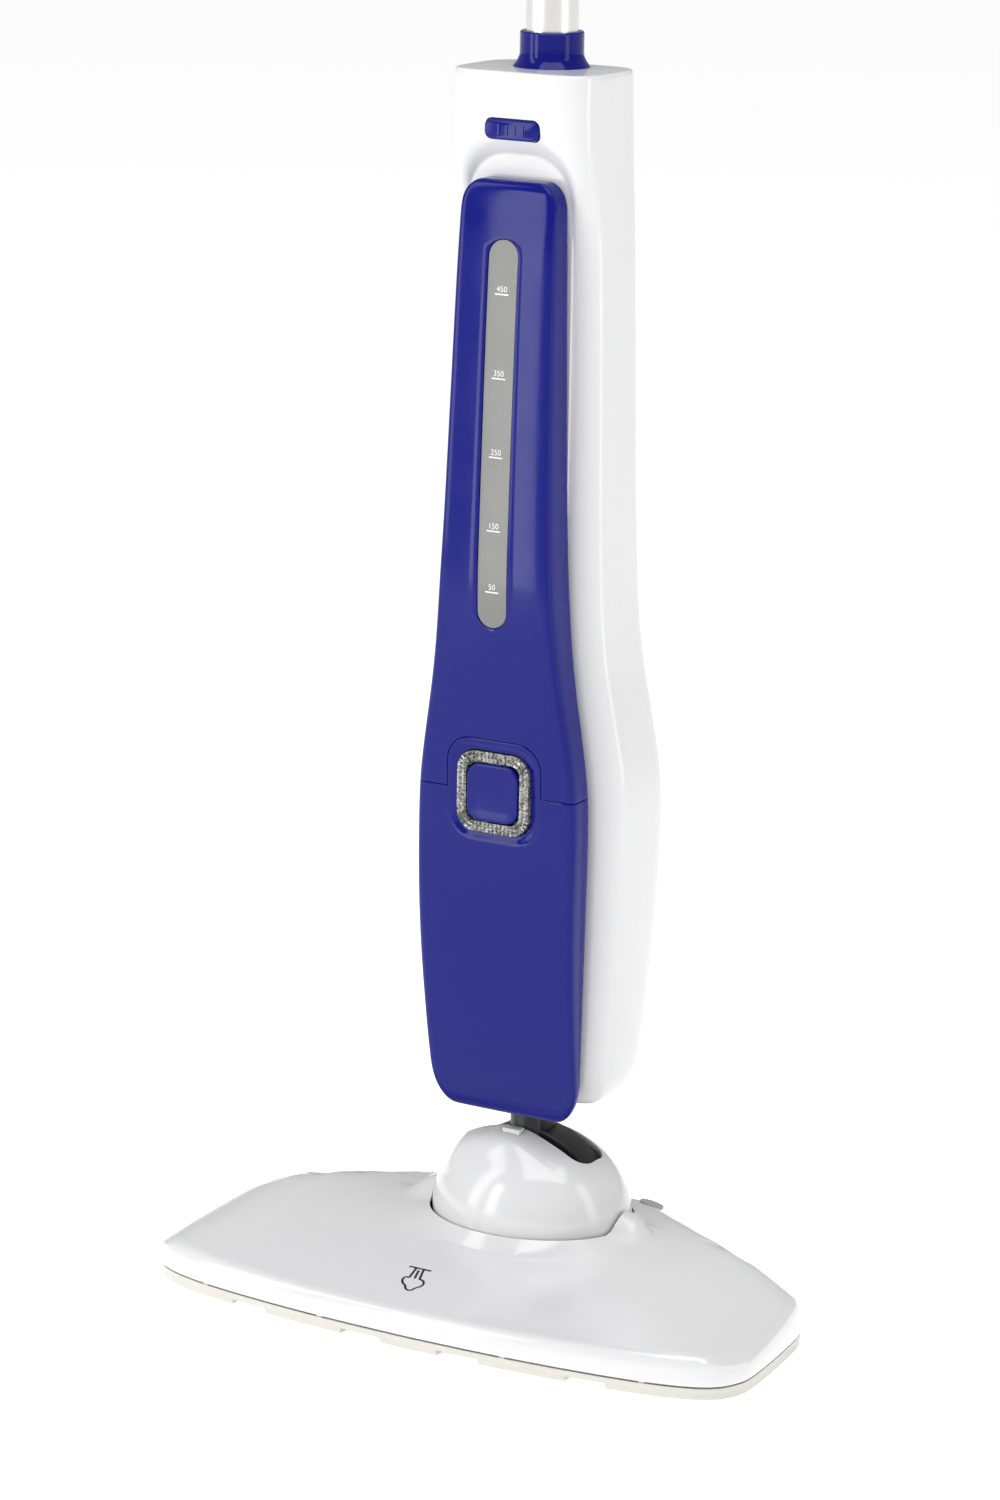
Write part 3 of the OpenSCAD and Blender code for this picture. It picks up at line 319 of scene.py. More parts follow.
def prism(name, x, z, half_w, half_h, radius, y0, y1, segments=8):
    """Rounded bar along Y."""
    clear()
    bpy.ops.mesh.primitive_cube_add(size=1, location=(x, (y0 + y1) / 2, z),
                                    scale=(2 * half_w, y1 - y0, 2 * half_h))
    piece = name_it(name)
    edit("EDGE")
    pick("edges", lambda e: abs((e.verts[1].co - e.verts[0].co).y) > 0.9 * (y1 - y0))
    bpy.ops.mesh.bevel(offset=radius, segments=segments)
    done()
    return piece


# ---------- finishes ----------
def finish_of(name, color, rough, metal=0.0, coat=0.0, shine=0.5, spread=0.06, grain=900.0, bump=0.02,
              stretch=(1, 1, 1), ior=1.5, rough_spread=0.08):
    """Moulded or metal finish: faint patches of tone, uneven gloss and fine grain."""
    made = bpy.data.materials.new(name)
    made.use_nodes = True
    net = made.node_tree
    shader = net.nodes["Principled BSDF"]
    shader.inputs["Metallic"].default_value = metal
    shader.inputs["Coat Weight"].default_value = coat
    shader.inputs["Coat Roughness"].default_value = 0.04
    shader.inputs["Specular IOR Level"].default_value = shine
    shader.inputs["IOR"].default_value = ior
    where = net.nodes.new("ShaderNodeTexCoord")
    turn = net.nodes.new("ShaderNodeMapping")
    turn.inputs["Scale"].default_value = stretch
    net.links.new(where.outputs["Object"], turn.inputs["Vector"])
    patches = net.nodes.new("ShaderNodeTexNoise")
    patches.inputs["Scale"].default_value = 14
    patches.inputs["Detail"].default_value = 4
    tone = net.nodes.new("ShaderNodeMix")
    tone.data_type = "RGBA"
    tone.inputs["A"].default_value = (*[c * (1 - spread) for c in color], 1)
    tone.inputs["B"].default_value = (*[min(1, c * (1 + spread)) for c in color], 1)
    net.links.new(turn.outputs["Vector"], patches.inputs["Vector"])
    net.links.new(patches.outputs["Fac"], tone.inputs["Factor"])
    net.links.new(tone.outputs["Result"], shader.inputs["Base Color"])
    marks = net.nodes.new("ShaderNodeTexNoise")
    marks.inputs["Scale"].default_value = 60
    marks.inputs["Detail"].default_value = 6
    marks.inputs["Roughness"].default_value = 0.65
    gloss = net.nodes.new("ShaderNodeMapRange")
    gloss.inputs["From Min"].default_value = 0.3
    gloss.inputs["From Max"].default_value = 0.75
    gloss.inputs["To Min"].default_value = rough
    gloss.inputs["To Max"].default_value = rough + rough_spread
    net.links.new(turn.outputs["Vector"], marks.inputs["Vector"])
    net.links.new(marks.outputs["Fac"], gloss.inputs["Value"])
    net.links.new(gloss.outputs["Result"], shader.inputs["Roughness"])
    fine = net.nodes.new("ShaderNodeTexNoise")
    fine.inputs["Scale"].default_value = grain
    fine.inputs["Detail"].default_value = 3
    relief = net.nodes.new("ShaderNodeBump")
    relief.inputs["Strength"].default_value = bump
    relief.inputs["Distance"].default_value = 0.0002
    net.links.new(turn.outputs["Vector"], fine.inputs["Vector"])
    net.links.new(fine.outputs["Fac"], relief.inputs["Height"])
    net.links.new(relief.outputs["Normal"], shader.inputs["Normal"])
    return made


def crystal_finish():
    """Cut clear plastic: light and dark cells painted into the base colour stand in for the facets'
    glints and dark reflections.
    """
    made = finish_of("cut_crystal", (0.6, 0.61, 0.62), 0.06, coat=1.0, bump=0.05)
    net = made.node_tree
    shader = net.nodes["Principled BSDF"]
    shader.inputs["Metallic"].default_value = 0.55
    # Painted glints: random cells from near black to pale grey in the base colour imitate sparkle and
    # dark reflections.
    painted_glint_cells = net.nodes.new("ShaderNodeTexVoronoi")
    painted_glint_cells.inputs["Scale"].default_value = 1150
    ramp = net.nodes.new("ShaderNodeValToRGB")
    ramp.color_ramp.elements[0].color = (0.035, 0.035, 0.035, 1)
    ramp.color_ramp.elements[1].color = (0.52, 0.52, 0.49, 1)
    ramp.color_ramp.elements[0].position = 0.15
    ramp.color_ramp.elements[1].position = 0.8
    where = net.nodes["Texture Coordinate"]
    net.links.new(where.outputs["Object"], painted_glint_cells.inputs["Vector"])
    net.links.new(painted_glint_cells.outputs["Color"], ramp.inputs["Fac"])
    net.links.new(ramp.outputs["Color"], shader.inputs["Base Color"])
    return made


def make_finishes():
    return {
        "white": finish_of("gloss_white", (0.74, 0.74, 0.745), 0.12, coat=0.3, spread=0.012),
        "cream": finish_of("satin_cream", (0.66, 0.64, 0.585), 0.34, spread=0.03, bump=0.06),
        "blue": finish_of("gloss_blue", (0.003, 0.006, 0.175), 0.07, shine=0.22, spread=0.05),
        "black": finish_of("satin_black", (0.012, 0.012, 0.014), 0.32, spread=0.2, bump=0.08),
        "soft": finish_of("soft_black_rubber", (0.016, 0.016, 0.018), 0.55, spread=0.2, bump=0.3),
        "grey": finish_of("satin_grey", (0.42, 0.42, 0.40), 0.35, spread=0.05),
        "window": finish_of("smoked_window", (0.17, 0.17, 0.16), 0.22, coat=0.15, spread=0.08),
        "tube": finish_of("satin_aluminium", (0.84, 0.83, 0.80), 0.24, metal=1.0, spread=0.03,
                          stretch=(30, 30, 1), bump=0.06, grain=300, rough_spread=0.1),
        "steel": finish_of("plain_steel", (0.55, 0.56, 0.57), 0.28, metal=1.0, spread=0.06),
        "cast": finish_of("cast_metal", (0.60, 0.60, 0.60), 0.42, metal=1.0, spread=0.08,
                          grain=400, bump=0.35),
        "vessel": finish_of("milky_vessel", (0.62, 0.64, 0.64), 0.22, spread=0.04),
        "board": finish_of("green_board", (0.02, 0.13, 0.05), 0.4, spread=0.15),
        "red": finish_of("red_silicone", (0.40, 0.06, 0.04), 0.5, spread=0.08, bump=0.1),
        "hose": finish_of("milky_hose", (0.66, 0.66, 0.60), 0.4, spread=0.06),
        "ink": finish_of("black_ink", (0.01, 0.01, 0.011), 0.4, spread=0.2),
        "mark": finish_of("white_ink", (0.85, 0.85, 0.84), 0.4, spread=0.03),
        "grey_white": finish_of("shaded_white", (0.74, 0.75, 0.77), 0.2, spread=0.02),
        "crystal": crystal_finish(),
    }


# ---------- body ----------
def body_rings():
    heights = [body_bottom + d * MM for d in (0, 0.8, 2.2, 4.6, 8, 12.5, 18.5, 30, 55, 85, 118)]
    heights += [lerp(belly_z, body_top, t / 22) for t in range(22)]
    heights += [body_top - 6 * MM, body_top - 2.2 * MM, body_top - 0.9 * MM, body_top - 0.2 * MM,
                body_top]
    rings = []
    for z in heights:
        low = min(1, max(0, (z - body_bottom) / (20 * MM)))
        high = min(1, max(0, (body_top - z) / (2.5 * MM)))
        pull = (13 * (1 - math.sqrt(1 - (1 - low) ** 2))
                + 1.2 * (1 - math.sqrt(1 - (1 - high) ** 2))) * MM
        rings.append((z, curve_at(width_line, z) - pull, -curve_at(front_line, z) + pull,
                      curve_at(back_line, z) - pull))
    return rings


def half_of_body(form, name, front):
    half = twin(form, name)
    edit()
    bpy.ops.mesh.select_all(action="SELECT")
    bpy.ops.mesh.bisect(plane_co=(0, parting_y, 0), plane_no=(0, 1, 0), use_fill=True,
                        clear_outer=front, clear_inner=not front)
    pick("faces", lambda f: abs(f.normal.y) > 0.99 and abs(f.calc_center_median().y - parting_y) < 1e-5)
    bpy.ops.mesh.delete(type="ONLY_FACE")
    done()
    return half


def sink_recess(shell):
    """Soft arched recess above the tank, pressed into the front face."""
    take(shell)
    edit()
    pick("faces", lambda f: f.calc_center_median().z > tank_top - 70 * MM
         and f.calc_center_median().z < body_top - 12 * MM
         and f.calc_center_median().y < parting_y - 14 * MM)
    bpy.ops.mesh.subdivide(number_cuts=3, smoothness=0.0)
    done()
    top, half_w, radius = tank_top + 11.6 * MM, 27.5 * MM, 20 * MM
    floor_y, slope, ease = -27.5 * MM, 0.95, 1.6 * MM
    for v in shell.data.vertices:
        if v.co.y > parting_y - 10 * MM or v.co.z < tank_top - 90 * MM:
            continue
        qx = abs(v.co.x) - (half_w - radius)
        qz = v.co.z - (top - radius)
        away = math.hypot(max(qx, 0), max(qz, 0)) + min(max(qx, qz), 0) - radius
        floor = floor_y - slope * max(away, 0)
        if floor > v.co.y - 9 * MM:
            low = max(v.co.y, floor)
            v.co.y = low + ease * math.log(math.exp((v.co.y - low) / ease)
                                           + math.exp((floor - low) / ease))
    return shell


def make_body(paint):
    form = draw_up("body_form", body_rings(), 15 * MM, 0)
    round_off(form, 2)
    front = half_of_body(form, "body_front_moulding", True)
    rear = half_of_body(form, "body_rear_moulding", False)
    sink_recess(front)
    bpy.data.objects.remove(form)
    for half in (front, rear):
        fit_modifier(half, "SOLIDIFY", thickness=2.2 * MM, offset=-1, use_even_offset=True)
    button_hole = prism("button_hole", 0, push_mid_z, push_half_w + 0.5 * MM,
                        push_half_h + 0.5 * MM, 3.9 * MM, -60 * MM, -20 * MM)
    carve(front, button_hole)
    for half in (front, rear):
        smooth(half, 40)
    dress(front, "upright", paint["white"], "white_gloss", "front_shell")
    dress(rear, "upright", paint["white"], "white_gloss", "rear_shell")


push_mid_z = (push_lo.z + push_hi.z) / 2
push_half_w = 14.5 * MM
push_half_h = 4.8 * MM


def make_release_button(paint):
    face_y = push_lo.y
    key = prism("release_key_cap", 0, push_mid_z, push_half_w, push_half_h, 3.7 * MM,
                face_y, face_y + 9 * MM)
    soften(key, 0.9 * MM)
    ridges = []
    for k in (-1.5, -0.5, 0.5, 1.5):
        bar = prism("ridge", k * 4.4 * MM, push_mid_z, 0.55 * MM, 2.6 * MM, 0.5 * MM,
                    face_y - 0.35 * MM, face_y + 1 * MM, 3)
        ridges.append(bar)
    clear()
    for bar in ridges:
        bar.select_set(True)
    key.select_set(True)
    bpy.context.view_layer.objects.active = key
    bpy.ops.object.join()
    smooth(key)
    dress(key, "release_key", paint["blue"], "blue_gloss", "release_button")


# ---------- blue front ----------
def blue_width(z):
    low = (z - front_bottom) / (20.5 * MM)
    high = (tank_top - z) / (12.5 * MM)
    w = curve_at(blue_w_line, z)
    if low < 1:
        w -= 14.5 * MM * (1 - math.sqrt(max(0, 1 - (1 - low) ** 2)))
    if high < 1:
        w -= 10.5 * MM * (1 - math.sqrt(max(0, 1 - (1 - high) ** 2)))
    return w


def make_blue_form():
    heights = [front_bottom + d * MM for d in (0, 0.8, 2.2, 4.5, 8, 12.5, 18, 26, 38, 52, 70,
                                                90, 110, 130, 150)]
    heights += [split_z + d * MM for d in (-4, 8, 20, 32, 44, 58, 72, 88, 105, 125, 150, 180,
                                            210, 240, 262)]
    heights += [tank_top - d * MM for d in (20, 13, 8.5, 5.2, 2.8, 1.2, 0.4, 0)]
    rings = []
    for z in heights:
        end = min(1, (z - front_bottom) / (4 * MM), (tank_top - z) / (3 * MM))
        lip = 2.2 * MM * (1 - math.sqrt(max(0, 1 - (1 - end) ** 2)))
        rings.append((z, blue_width(z), -curve_at(blue_y_line, z) + lip + 1.2 * MM, seat_y))
    return round_off(draw_up("blue_form", rings, 3.6 * MM, 1.2 * MM), 2)


def press_bezel(form):
    """Shallow dish round the light ring, with a soft rim."""
    half, radius, depth = 23.4 * MM, 12 * MM, 0.9 * MM
    take(form)
    edit()
    pick("faces", lambda f: f.normal.y < -0.6 and abs(f.calc_center_median().z - split_z) < 31 * MM
         and abs(f.calc_center_median().x) < 31 * MM)
    bpy.ops.mesh.subdivide(number_cuts=3)
    done()
    for v in form.data.vertices:
        if v.co.y > -36 * MM:
            continue
        qx, qz = abs(v.co.x) - half + radius, abs(v.co.z - split_z) - half + radius
        away = math.hypot(max(qx, 0), max(qz, 0)) + min(max(qx, qz), 0) - radius
        t = min(1, max(0, (0.7 * MM - away) / (2.2 * MM)))
        v.co.y += depth * t * t * (3 - 2 * t)


def make_blue_front(paint):
    form = make_blue_form()
    press_bezel(form)
    lobe_w = 26 * MM
    gap = 0.45 * MM
    # The lower cover keeps its lobe round the key, the tank keeps the rest
    cover = twin(form, "lower_cover_moulding")
    low_z = front_bottom - 20 * MM
    box_y, box_w, box_d = -50 * MM, 200 * MM, 160 * MM
    bpy.ops.mesh.primitive_cube_add(size=1, location=(0, box_y, (low_z + split_z) / 2),
                                    scale=(box_w, box_d, split_z - low_z))
    below = name_it("below_split")
    lobe = prism("lobe", 0, split_z, lobe_w, lobe_w, 13 * MM, -80 * MM, 0, 10)
    keep = twin(below, "keep_shape")
    carve(keep, lobe, "UNION", keep=True)
    carve(cover, keep, "INTERSECT")
    well = prism("ring_well", 0, split_z, ring_half + 0.45 * MM, ring_half + 0.45 * MM,
                 10.4 * MM, -80 * MM, -37 * MM, 10)
    carve(cover, well)
    tank = twin(form, "tank_front_moulding")
    bpy.data.objects.remove(lobe)
    bpy.data.objects.remove(below)
    bpy.ops.mesh.primitive_cube_add(size=1, location=(0, box_y, (split_z + gap) / 2),
                                    scale=(box_w, box_d, split_z + gap))
    under = name_it("under_tank")
    wide = prism("lobe_room", 0, split_z, lobe_w + gap, lobe_w + gap, 13.4 * MM, -80 * MM, 0, 10)
    carve(under, wide, "UNION")
    carve(tank, under)
    # The window sits in a shallow trough
    win_mid = (window_lo.z + window_hi.z) / 2
    win_half = (window_hi.z - window_lo.z) / 2
    win_w = window_hi.x
    pane = twin(form, "window_pane")
    shape = prism("pane_shape", 0, win_mid, win_w, win_half, win_w - 0.1 * MM, -80 * MM,
                  seat_y - 6 * MM, 12)
    carve(pane, shape, "INTERSECT")
    hole = prism("pane_room", 0, win_mid, win_w + 0.45 * MM, win_half + 0.45 * MM, win_w + 0.3 * MM,
                 -80 * MM, seat_y - 6 * MM, 12)
    carve(tank, hole)
    take(pane)
    edit()
    bpy.ops.mesh.select_all(action="SELECT")
    bpy.ops.transform.translate(value=(0, 0.35 * MM, 0))
    done()
    bpy.data.objects.remove(form)
    for piece in (cover, tank):
        tidy_normals(piece)
        soften(piece, 0.45 * MM, 2, 50)
        smooth(piece, 40)
    smooth(pane, 40)
    dress(cover, "upright", paint["blue"], "blue_gloss", "lower_cover")
    dress(tank, "water_tank", paint["blue"], "blue_gloss", "tank_shell")
    dress(pane, "water_tank", paint["window"], "window_grey", "tank_window")
    return pane


ring_half = 20 * MM


def make_light_ring(paint):
    """Cut-crystal ring: two rows of small pyramids round a rounded square."""
    face_y = ring_lo.y
    clear()
    bpy.ops.mesh.primitive_plane_add(size=2 * ring_half, location=(0, face_y, split_z),
                                     rotation=(math.radians(90), 0, 0))
    ring = name_it("crystal_ring")
    edit("VERT")
    bpy.ops.mesh.select_all(action="SELECT")
    bpy.ops.mesh.bevel(offset=10 * MM, segments=7, affect="VERTICES")
    bpy.ops.mesh.select_mode(type="EDGE")
    pick("edges", lambda e: (e.verts[0].co - e.verts[1].co).length > 8 * MM)
    bpy.ops.mesh.subdivide(number_cuts=8)
    bpy.ops.mesh.select_mode(type="FACE")
    bpy.ops.mesh.select_all(action="SELECT")
    bpy.ops.mesh.inset(thickness=2.5 * MM)
    bpy.ops.mesh.inset(thickness=2.5 * MM)
    bpy.ops.mesh.delete(type="FACE")
    bpy.ops.mesh.select_all(action="SELECT")
    bpy.ops.mesh.extrude_region_move(TRANSFORM_OT_translate={"value": (0, 7 * MM, 0)})
    pick("faces", lambda f: abs(f.calc_center_median().y - face_y) < 1e-5)
    bpy.ops.mesh.poke(offset=1.3 * MM)
    done()
    tidy_normals(ring)
    flange = merged_copy("light_ring", "ring_flange")
    edit()
    bpy.ops.mesh.select_all(action="SELECT")
    bpy.ops.mesh.bisect(plane_co=(0, -37.5 * MM, 0), plane_no=(0, 1, 0), use_fill=True,
                        clear_inner=True)
    done()
    tidy_normals(flange)
    clear()
    flange.select_set(True)
    ring.select_set(True)
    bpy.context.view_layer.objects.active = ring
    bpy.ops.object.join()
    dress(ring, "upright", paint["crystal"], "clear_ring", "light_ring")


def make_power_key(paint):
    half = key_hi.x
    cap_depth = 4 * MM
    key = prism("power_key_cap", 0, split_z, half, half, 7 * MM, key_lo.y, key_lo.y + cap_depth)
    edit()
    pick("faces", lambda f: f.normal.y < -0.9)
    bpy.ops.mesh.inset(thickness=1.4 * MM)
    bpy.ops.mesh.inset(thickness=3.5 * MM)
    bpy.ops.transform.translate(value=(0, 0.45 * MM, 0))
    done()
    soften(key, 0.8 * MM, 3, 50)
    stem = merged_copy("power_button", "key_stem")
    edit()
    bpy.ops.mesh.select_all(action="SELECT")
    bpy.ops.mesh.bisect(plane_co=(0, key_lo.y + cap_depth - 0.5 * MM, 0), plane_no=(0, 1, 0),
                        use_fill=True, clear_inner=True)
    done()
    tidy_normals(stem)
    clear()
    stem.select_set(True)
    key.select_set(True)
    bpy.context.view_layer.objects.active = key
    bpy.ops.object.join()
    smooth(key)
    dress(key, "power_key", paint["blue"], "blue_gloss", "power_button")


# ---------- dome and latch ----------
SEAT_GAP = 0.3 * MM
slot_half = 36.5 * MM


def ramp(t):
    t = min(1, max(0, t))
    return t * t * (3 - 2 * t)


def raise_lip(dome):
    """Swells the shell softly in front of the slot, where it holds the park latch."""
    for v in dome.data.vertices:
        out = Vector((v.co.x * (dome_r / dome_x), v.co.y, v.co.z - axis_z))
        if out.z < 20 * MM or v.co.y > 6 * MM:
            continue
        swell = (ramp((v.co.x + 40 * MM) / (12 * MM)) * ramp((22 * MM - v.co.x) / (28 * MM))
                 * ramp((20 * MM - latch_hi.y + v.co.y) / (14 * MM)))
        v.co += out.normalized() * 3.5 * MM * swell


def make_dome(paint):
    wall = 2.5 * MM
    front_rim, rear_rim = math.radians(45), math.radians(2)
    clear()
    bpy.ops.mesh.primitive_circle_add(vertices=96, radius=1, location=(0, 0, axis_z),
                                      rotation=(math.pi + front_rim, 0, 0))
    bpy.context.object.scale = (dome_x, dome_r, 1)
    dome = name_it("dome_shell")
    ahead = Vector((0, -math.cos(front_rim), -math.sin(front_rim)))
    centre = Vector((0, 0, axis_z))
    edit("VERT")
    pick("verts", lambda v: (v.co - centre).dot(ahead) < -1e-5)
    bpy.ops.mesh.delete(type="VERT")
    bpy.ops.mesh.select_all(action="SELECT")
    bpy.ops.mesh.spin(steps=72, angle=math.pi + front_rim + rear_rim, center=centre,
                      axis=(1, 0, 0))
    done()
    tidy_normals(dome)
    raise_lip(dome)
    fit_modifier(dome, "SOLIDIFY", thickness=wall, offset=-1)
    slot_hole = prism_up("slot_hole", slot_half, -latch_hi.y, 9 * MM, axis_z + 8 * MM,
                         axis_z + 60 * MM)
    carve(dome, slot_hole)
    seat_lo = latch_lo - Vector((SEAT_GAP, SEAT_GAP, 0))
    seat_hi = latch_hi + Vector((SEAT_GAP, 2 * MM, 0))
    clear()
    bpy.ops.mesh.primitive_cube_add(size=1, location=(seat_lo + seat_hi) / 2,
                                    scale=seat_hi - seat_lo + Vector((0, 0, 20 * MM)))
    carve(dome, name_it("latch_seat"))
    soften(dome, 0.5 * MM, 2, 50)
    smooth(dome, 40)
    dress(dome, "tilt_dome", paint["white"], "white_gloss", "dome")


def prism_up(name, half_w, half_d, radius, z0, z1):
    clear()
    bpy.ops.mesh.primitive_cube_add(size=1, location=(0, 0, (z0 + z1) / 2),
                                    scale=(2 * half_w, 2 * half_d, z1 - z0))
    piece = name_it(name)
    edit("EDGE")
    pick("edges", upright)
    bpy.ops.mesh.bevel(offset=radius, segments=8)
    done()
    return piece


def make_park_latch(paint):
    mid = (latch_lo + latch_hi) / 2
    size = latch_hi - latch_lo
    clear()
    bpy.ops.mesh.primitive_cube_add(size=1, location=mid, scale=size)
    latch = name_it("park_latch_block")
    edit("EDGE")
    bpy.ops.mesh.select_all(action="SELECT")
    bpy.ops.mesh.bevel(offset=0.7 * MM, segments=3)
    done()
    smooth(latch)
    dress(latch, "latch_block", paint["grey_white"], "white_gloss", "park_latch")


# ---------- pieces that keep the CAD shape, rounded ----------
def rounded_copy(node, name, body, material, slot, angle=35, levels=0, edge=0.0):
    copy = merged_copy(node, name)
    if levels:
        edit("EDGE")
        bpy.ops.mesh.select_all(action="SELECT")
        bpy.ops.mesh.tris_convert_to_quads(face_threshold=math.radians(25),
                                           shape_threshold=math.radians(120))
        pick("edges", lambda e: len(e.link_faces) == 2
             and e.calc_face_angle(0) > math.radians(angle))
        bpy.ops.transform.edge_crease(value=1)
        done()
        round_off(copy, levels)
    if edge:
        soften(copy, edge, 2, 50)
    smooth(copy, angle)
    dress(copy, body, material, slot, node)
    return copy


KEPT = [
    ("neck", "neck_stem", "upright", "black", "black_plastic", {"edge": 0.5 * MM}),
    ("swivel_disc", "swivel_sector", "upright", "black", "black_plastic", {"edge": 0.5 * MM}),
    ("tube_collar", "tube_socket_collar", "upright", "blue", "blue_gloss", {"angle": 30}),
    ("lower_tube", "lower_pole", "upright", "tube", "tube_metal", {}),
    ("upper_tube", "upper_pole", "upright", "tube", "tube_metal", {}),
    ("handle_front", "grip_front", "upright", "blue", "blue_gloss", {"levels": 1}),
    ("handle_back", "grip_rear", "upright", "white", "white_gloss", {"levels": 1}),
    ("handle_sleeve", "grip_sleeve", "upright", "soft", "soft_black", {}),
    ("cord_gland", "inlet_gland", "upright", "black", "black_plastic", {}),
    ("lower_hook", "fixed_cord_hook", "upright", "blue", "blue_gloss", {"edge": 0.6 * MM}),
    ("hook_stud", "turning_hook_stud", "upright", "blue", "blue_gloss", {}),
    ("upper_hook", "turning_cord_hook", "cord_hook", "blue", "blue_gloss", {"edge": 0.6 * MM}),
]


CARRIED = {
    "cream": ["base_plate", "sole_rails", "nozzle_plate"],
    "black": ["steam_manifold", "bracket_left", "bracket_right", "power_switch", "pump",
              "inlet_spigot", "latch_lever"],
    "steel": ["trunnion_pins", "head_screws", "swivel_pin", "release_spring", "latch_pin",
              "body_screws", "handle_screws"],
    "cast": ["boiler", "boiler_clamps"],
    "red": ["steam_riser", "steam_hose", "manifold_gasket"],
    "board": ["circuit_board"],
    "hose": ["water_hose"],
    "vessel": ["tank_body"],
    "white": ["tank_cradle"],
    "blue": ["filler_cap", "tube_joiner"],
    "soft": ["outlet_seal", "cap_seal"],
    "grey": ["lobe_plug"],
}


def paint_carried(paint):
    for finish, names in CARRIED.items():
        for name in names:
            mesh = nodes[name].data
            mesh.materials.clear()
            mesh.materials.append(paint[finish])


# ---------- printed marks ----------
def lay_on(piece, target, axis, lift):
    tool = piece.modifiers.new("Lay", "SHRINKWRAP")
    tool.target = target
    tool.wrap_method = "PROJECT"
    tool.use_project_x = axis == "X"
    tool.use_project_y = axis == "Y"
    tool.use_project_z = axis == "Z"
    tool.use_negative_direction = True
    tool.use_positive_direction = True
    tool.offset = lift
    take(piece)
    bpy.ops.object.modifier_apply(modifier=tool.name)


def flat_bar(name, start, end, width, cuts=6):
    """Thin flat bar between two points, in the plane Z = 0."""
    run = Vector(end) - Vector(start)
    mid = (Vector(start) + Vector(end)) / 2
    clear()
    bpy.ops.mesh.primitive_plane_add(size=1, location=(mid.x, mid.y, 0),
                                     rotation=(0, 0, math.atan2(run.y, run.x)))
    bar = bpy.context.object
    bar.scale = (run.length, width, 1)
    bar = name_it(name)
    edit()
    bpy.ops.mesh.select_all(action="SELECT")
    bpy.ops.mesh.subdivide(number_cuts=cuts)
    done()
    return bar


def make_steam_mark(paint, head):
    """Generic sign for steam: a bar, three streaks and a puff of vapour."""
    pen = 1.2 * MM
    strokes = [[(-24.1, -76.6), (-11.5, -76.8)], [(-20, -77), (-18.2, -86.4)],
               [(-17.6, -78.5), (-15.2, -86.2)], [(-15.6, -77.2), (-12.6, -85.9)]]
    strokes.append([(-18.2, -86.4), (-19.6, -86.1), (-20.5, -87.2), (-20.4, -89), (-19.2, -91.2),
                    (-17.8, -92.7), (-16.2, -93.5), (-15, -95.2), (-13.4, -97), (-11.4, -97.5),
                    (-10.2, -96.4), (-10, -94.6), (-9.2, -93.5), (-8.2, -92.2), (-7.9, -90),
                    (-9, -87.7), (-10.6, -86.4), (-12.6, -85.9)])
    bars = []
    for spots in strokes:
        for start, end in zip(spots, spots[1:]):
            bars.append(flat_bar("mark", (start[0] * MM, start[1] * MM),
                                 (end[0] * MM, end[1] * MM), pen, 3))
    clear()
    for bar in bars:
        bar.select_set(True)
    bpy.context.view_layer.objects.active = bars[0]
    bpy.ops.object.join()
    mark = bpy.context.object
    mark.name = "steam_mark"
    edit()
    bpy.ops.mesh.select_all(action="SELECT")
    bpy.ops.transform.translate(value=(0, 0, 0.08))
    done()
    lay_on(mark, head, "Z", 0.08 * MM)
    dress(mark, "floor_head", paint["ink"], "black_plastic")


def make_scale(paint, pane):
    """Filling scale on the window: a short line and a number at each mark."""
    marks = [(503.3, "450"), (463.4, "350"), (425.8, "250"), (390.5, "150"), (360.9, "50")]
    pieces = []
    for z, label in marks:
        clear()
        bpy.ops.mesh.primitive_plane_add(size=1, rotation=(math.radians(90), 0, 0))
        line = bpy.context.object
        line.scale = (7.4 * MM, 0.65 * MM, 1)
        line.location = (0, -70 * MM, z * MM)
        line = name_it("scale_line")
        edit()
        bpy.ops.mesh.select_all(action="SELECT")
        bpy.ops.mesh.subdivide(number_cuts=5)
        done()
        pieces.append(line)
        clear()
        bpy.ops.object.text_add(location=(0, -70 * MM, (z + 1.2) * MM),
                                rotation=(math.radians(90), 0, 0))
        text = bpy.context.object
        text.data.body = label
        text.data.size = 3.9 * MM
        text.data.align_x = "CENTER"
        text.data.resolution_u = 4
        bpy.ops.object.convert(target="MESH")
        number = name_it("scale_number")
        pieces.append(number)
    clear()
    for piece in pieces:
        piece.select_set(True)
    bpy.context.view_layer.objects.active = pieces[0]
    bpy.ops.object.join()
    scale = bpy.context.object
    scale.name = "water_scale"
    lay_on(scale, pane, "Y", 0.06 * MM)
    dress(scale, "water_tank", paint["mark"], "window_grey")


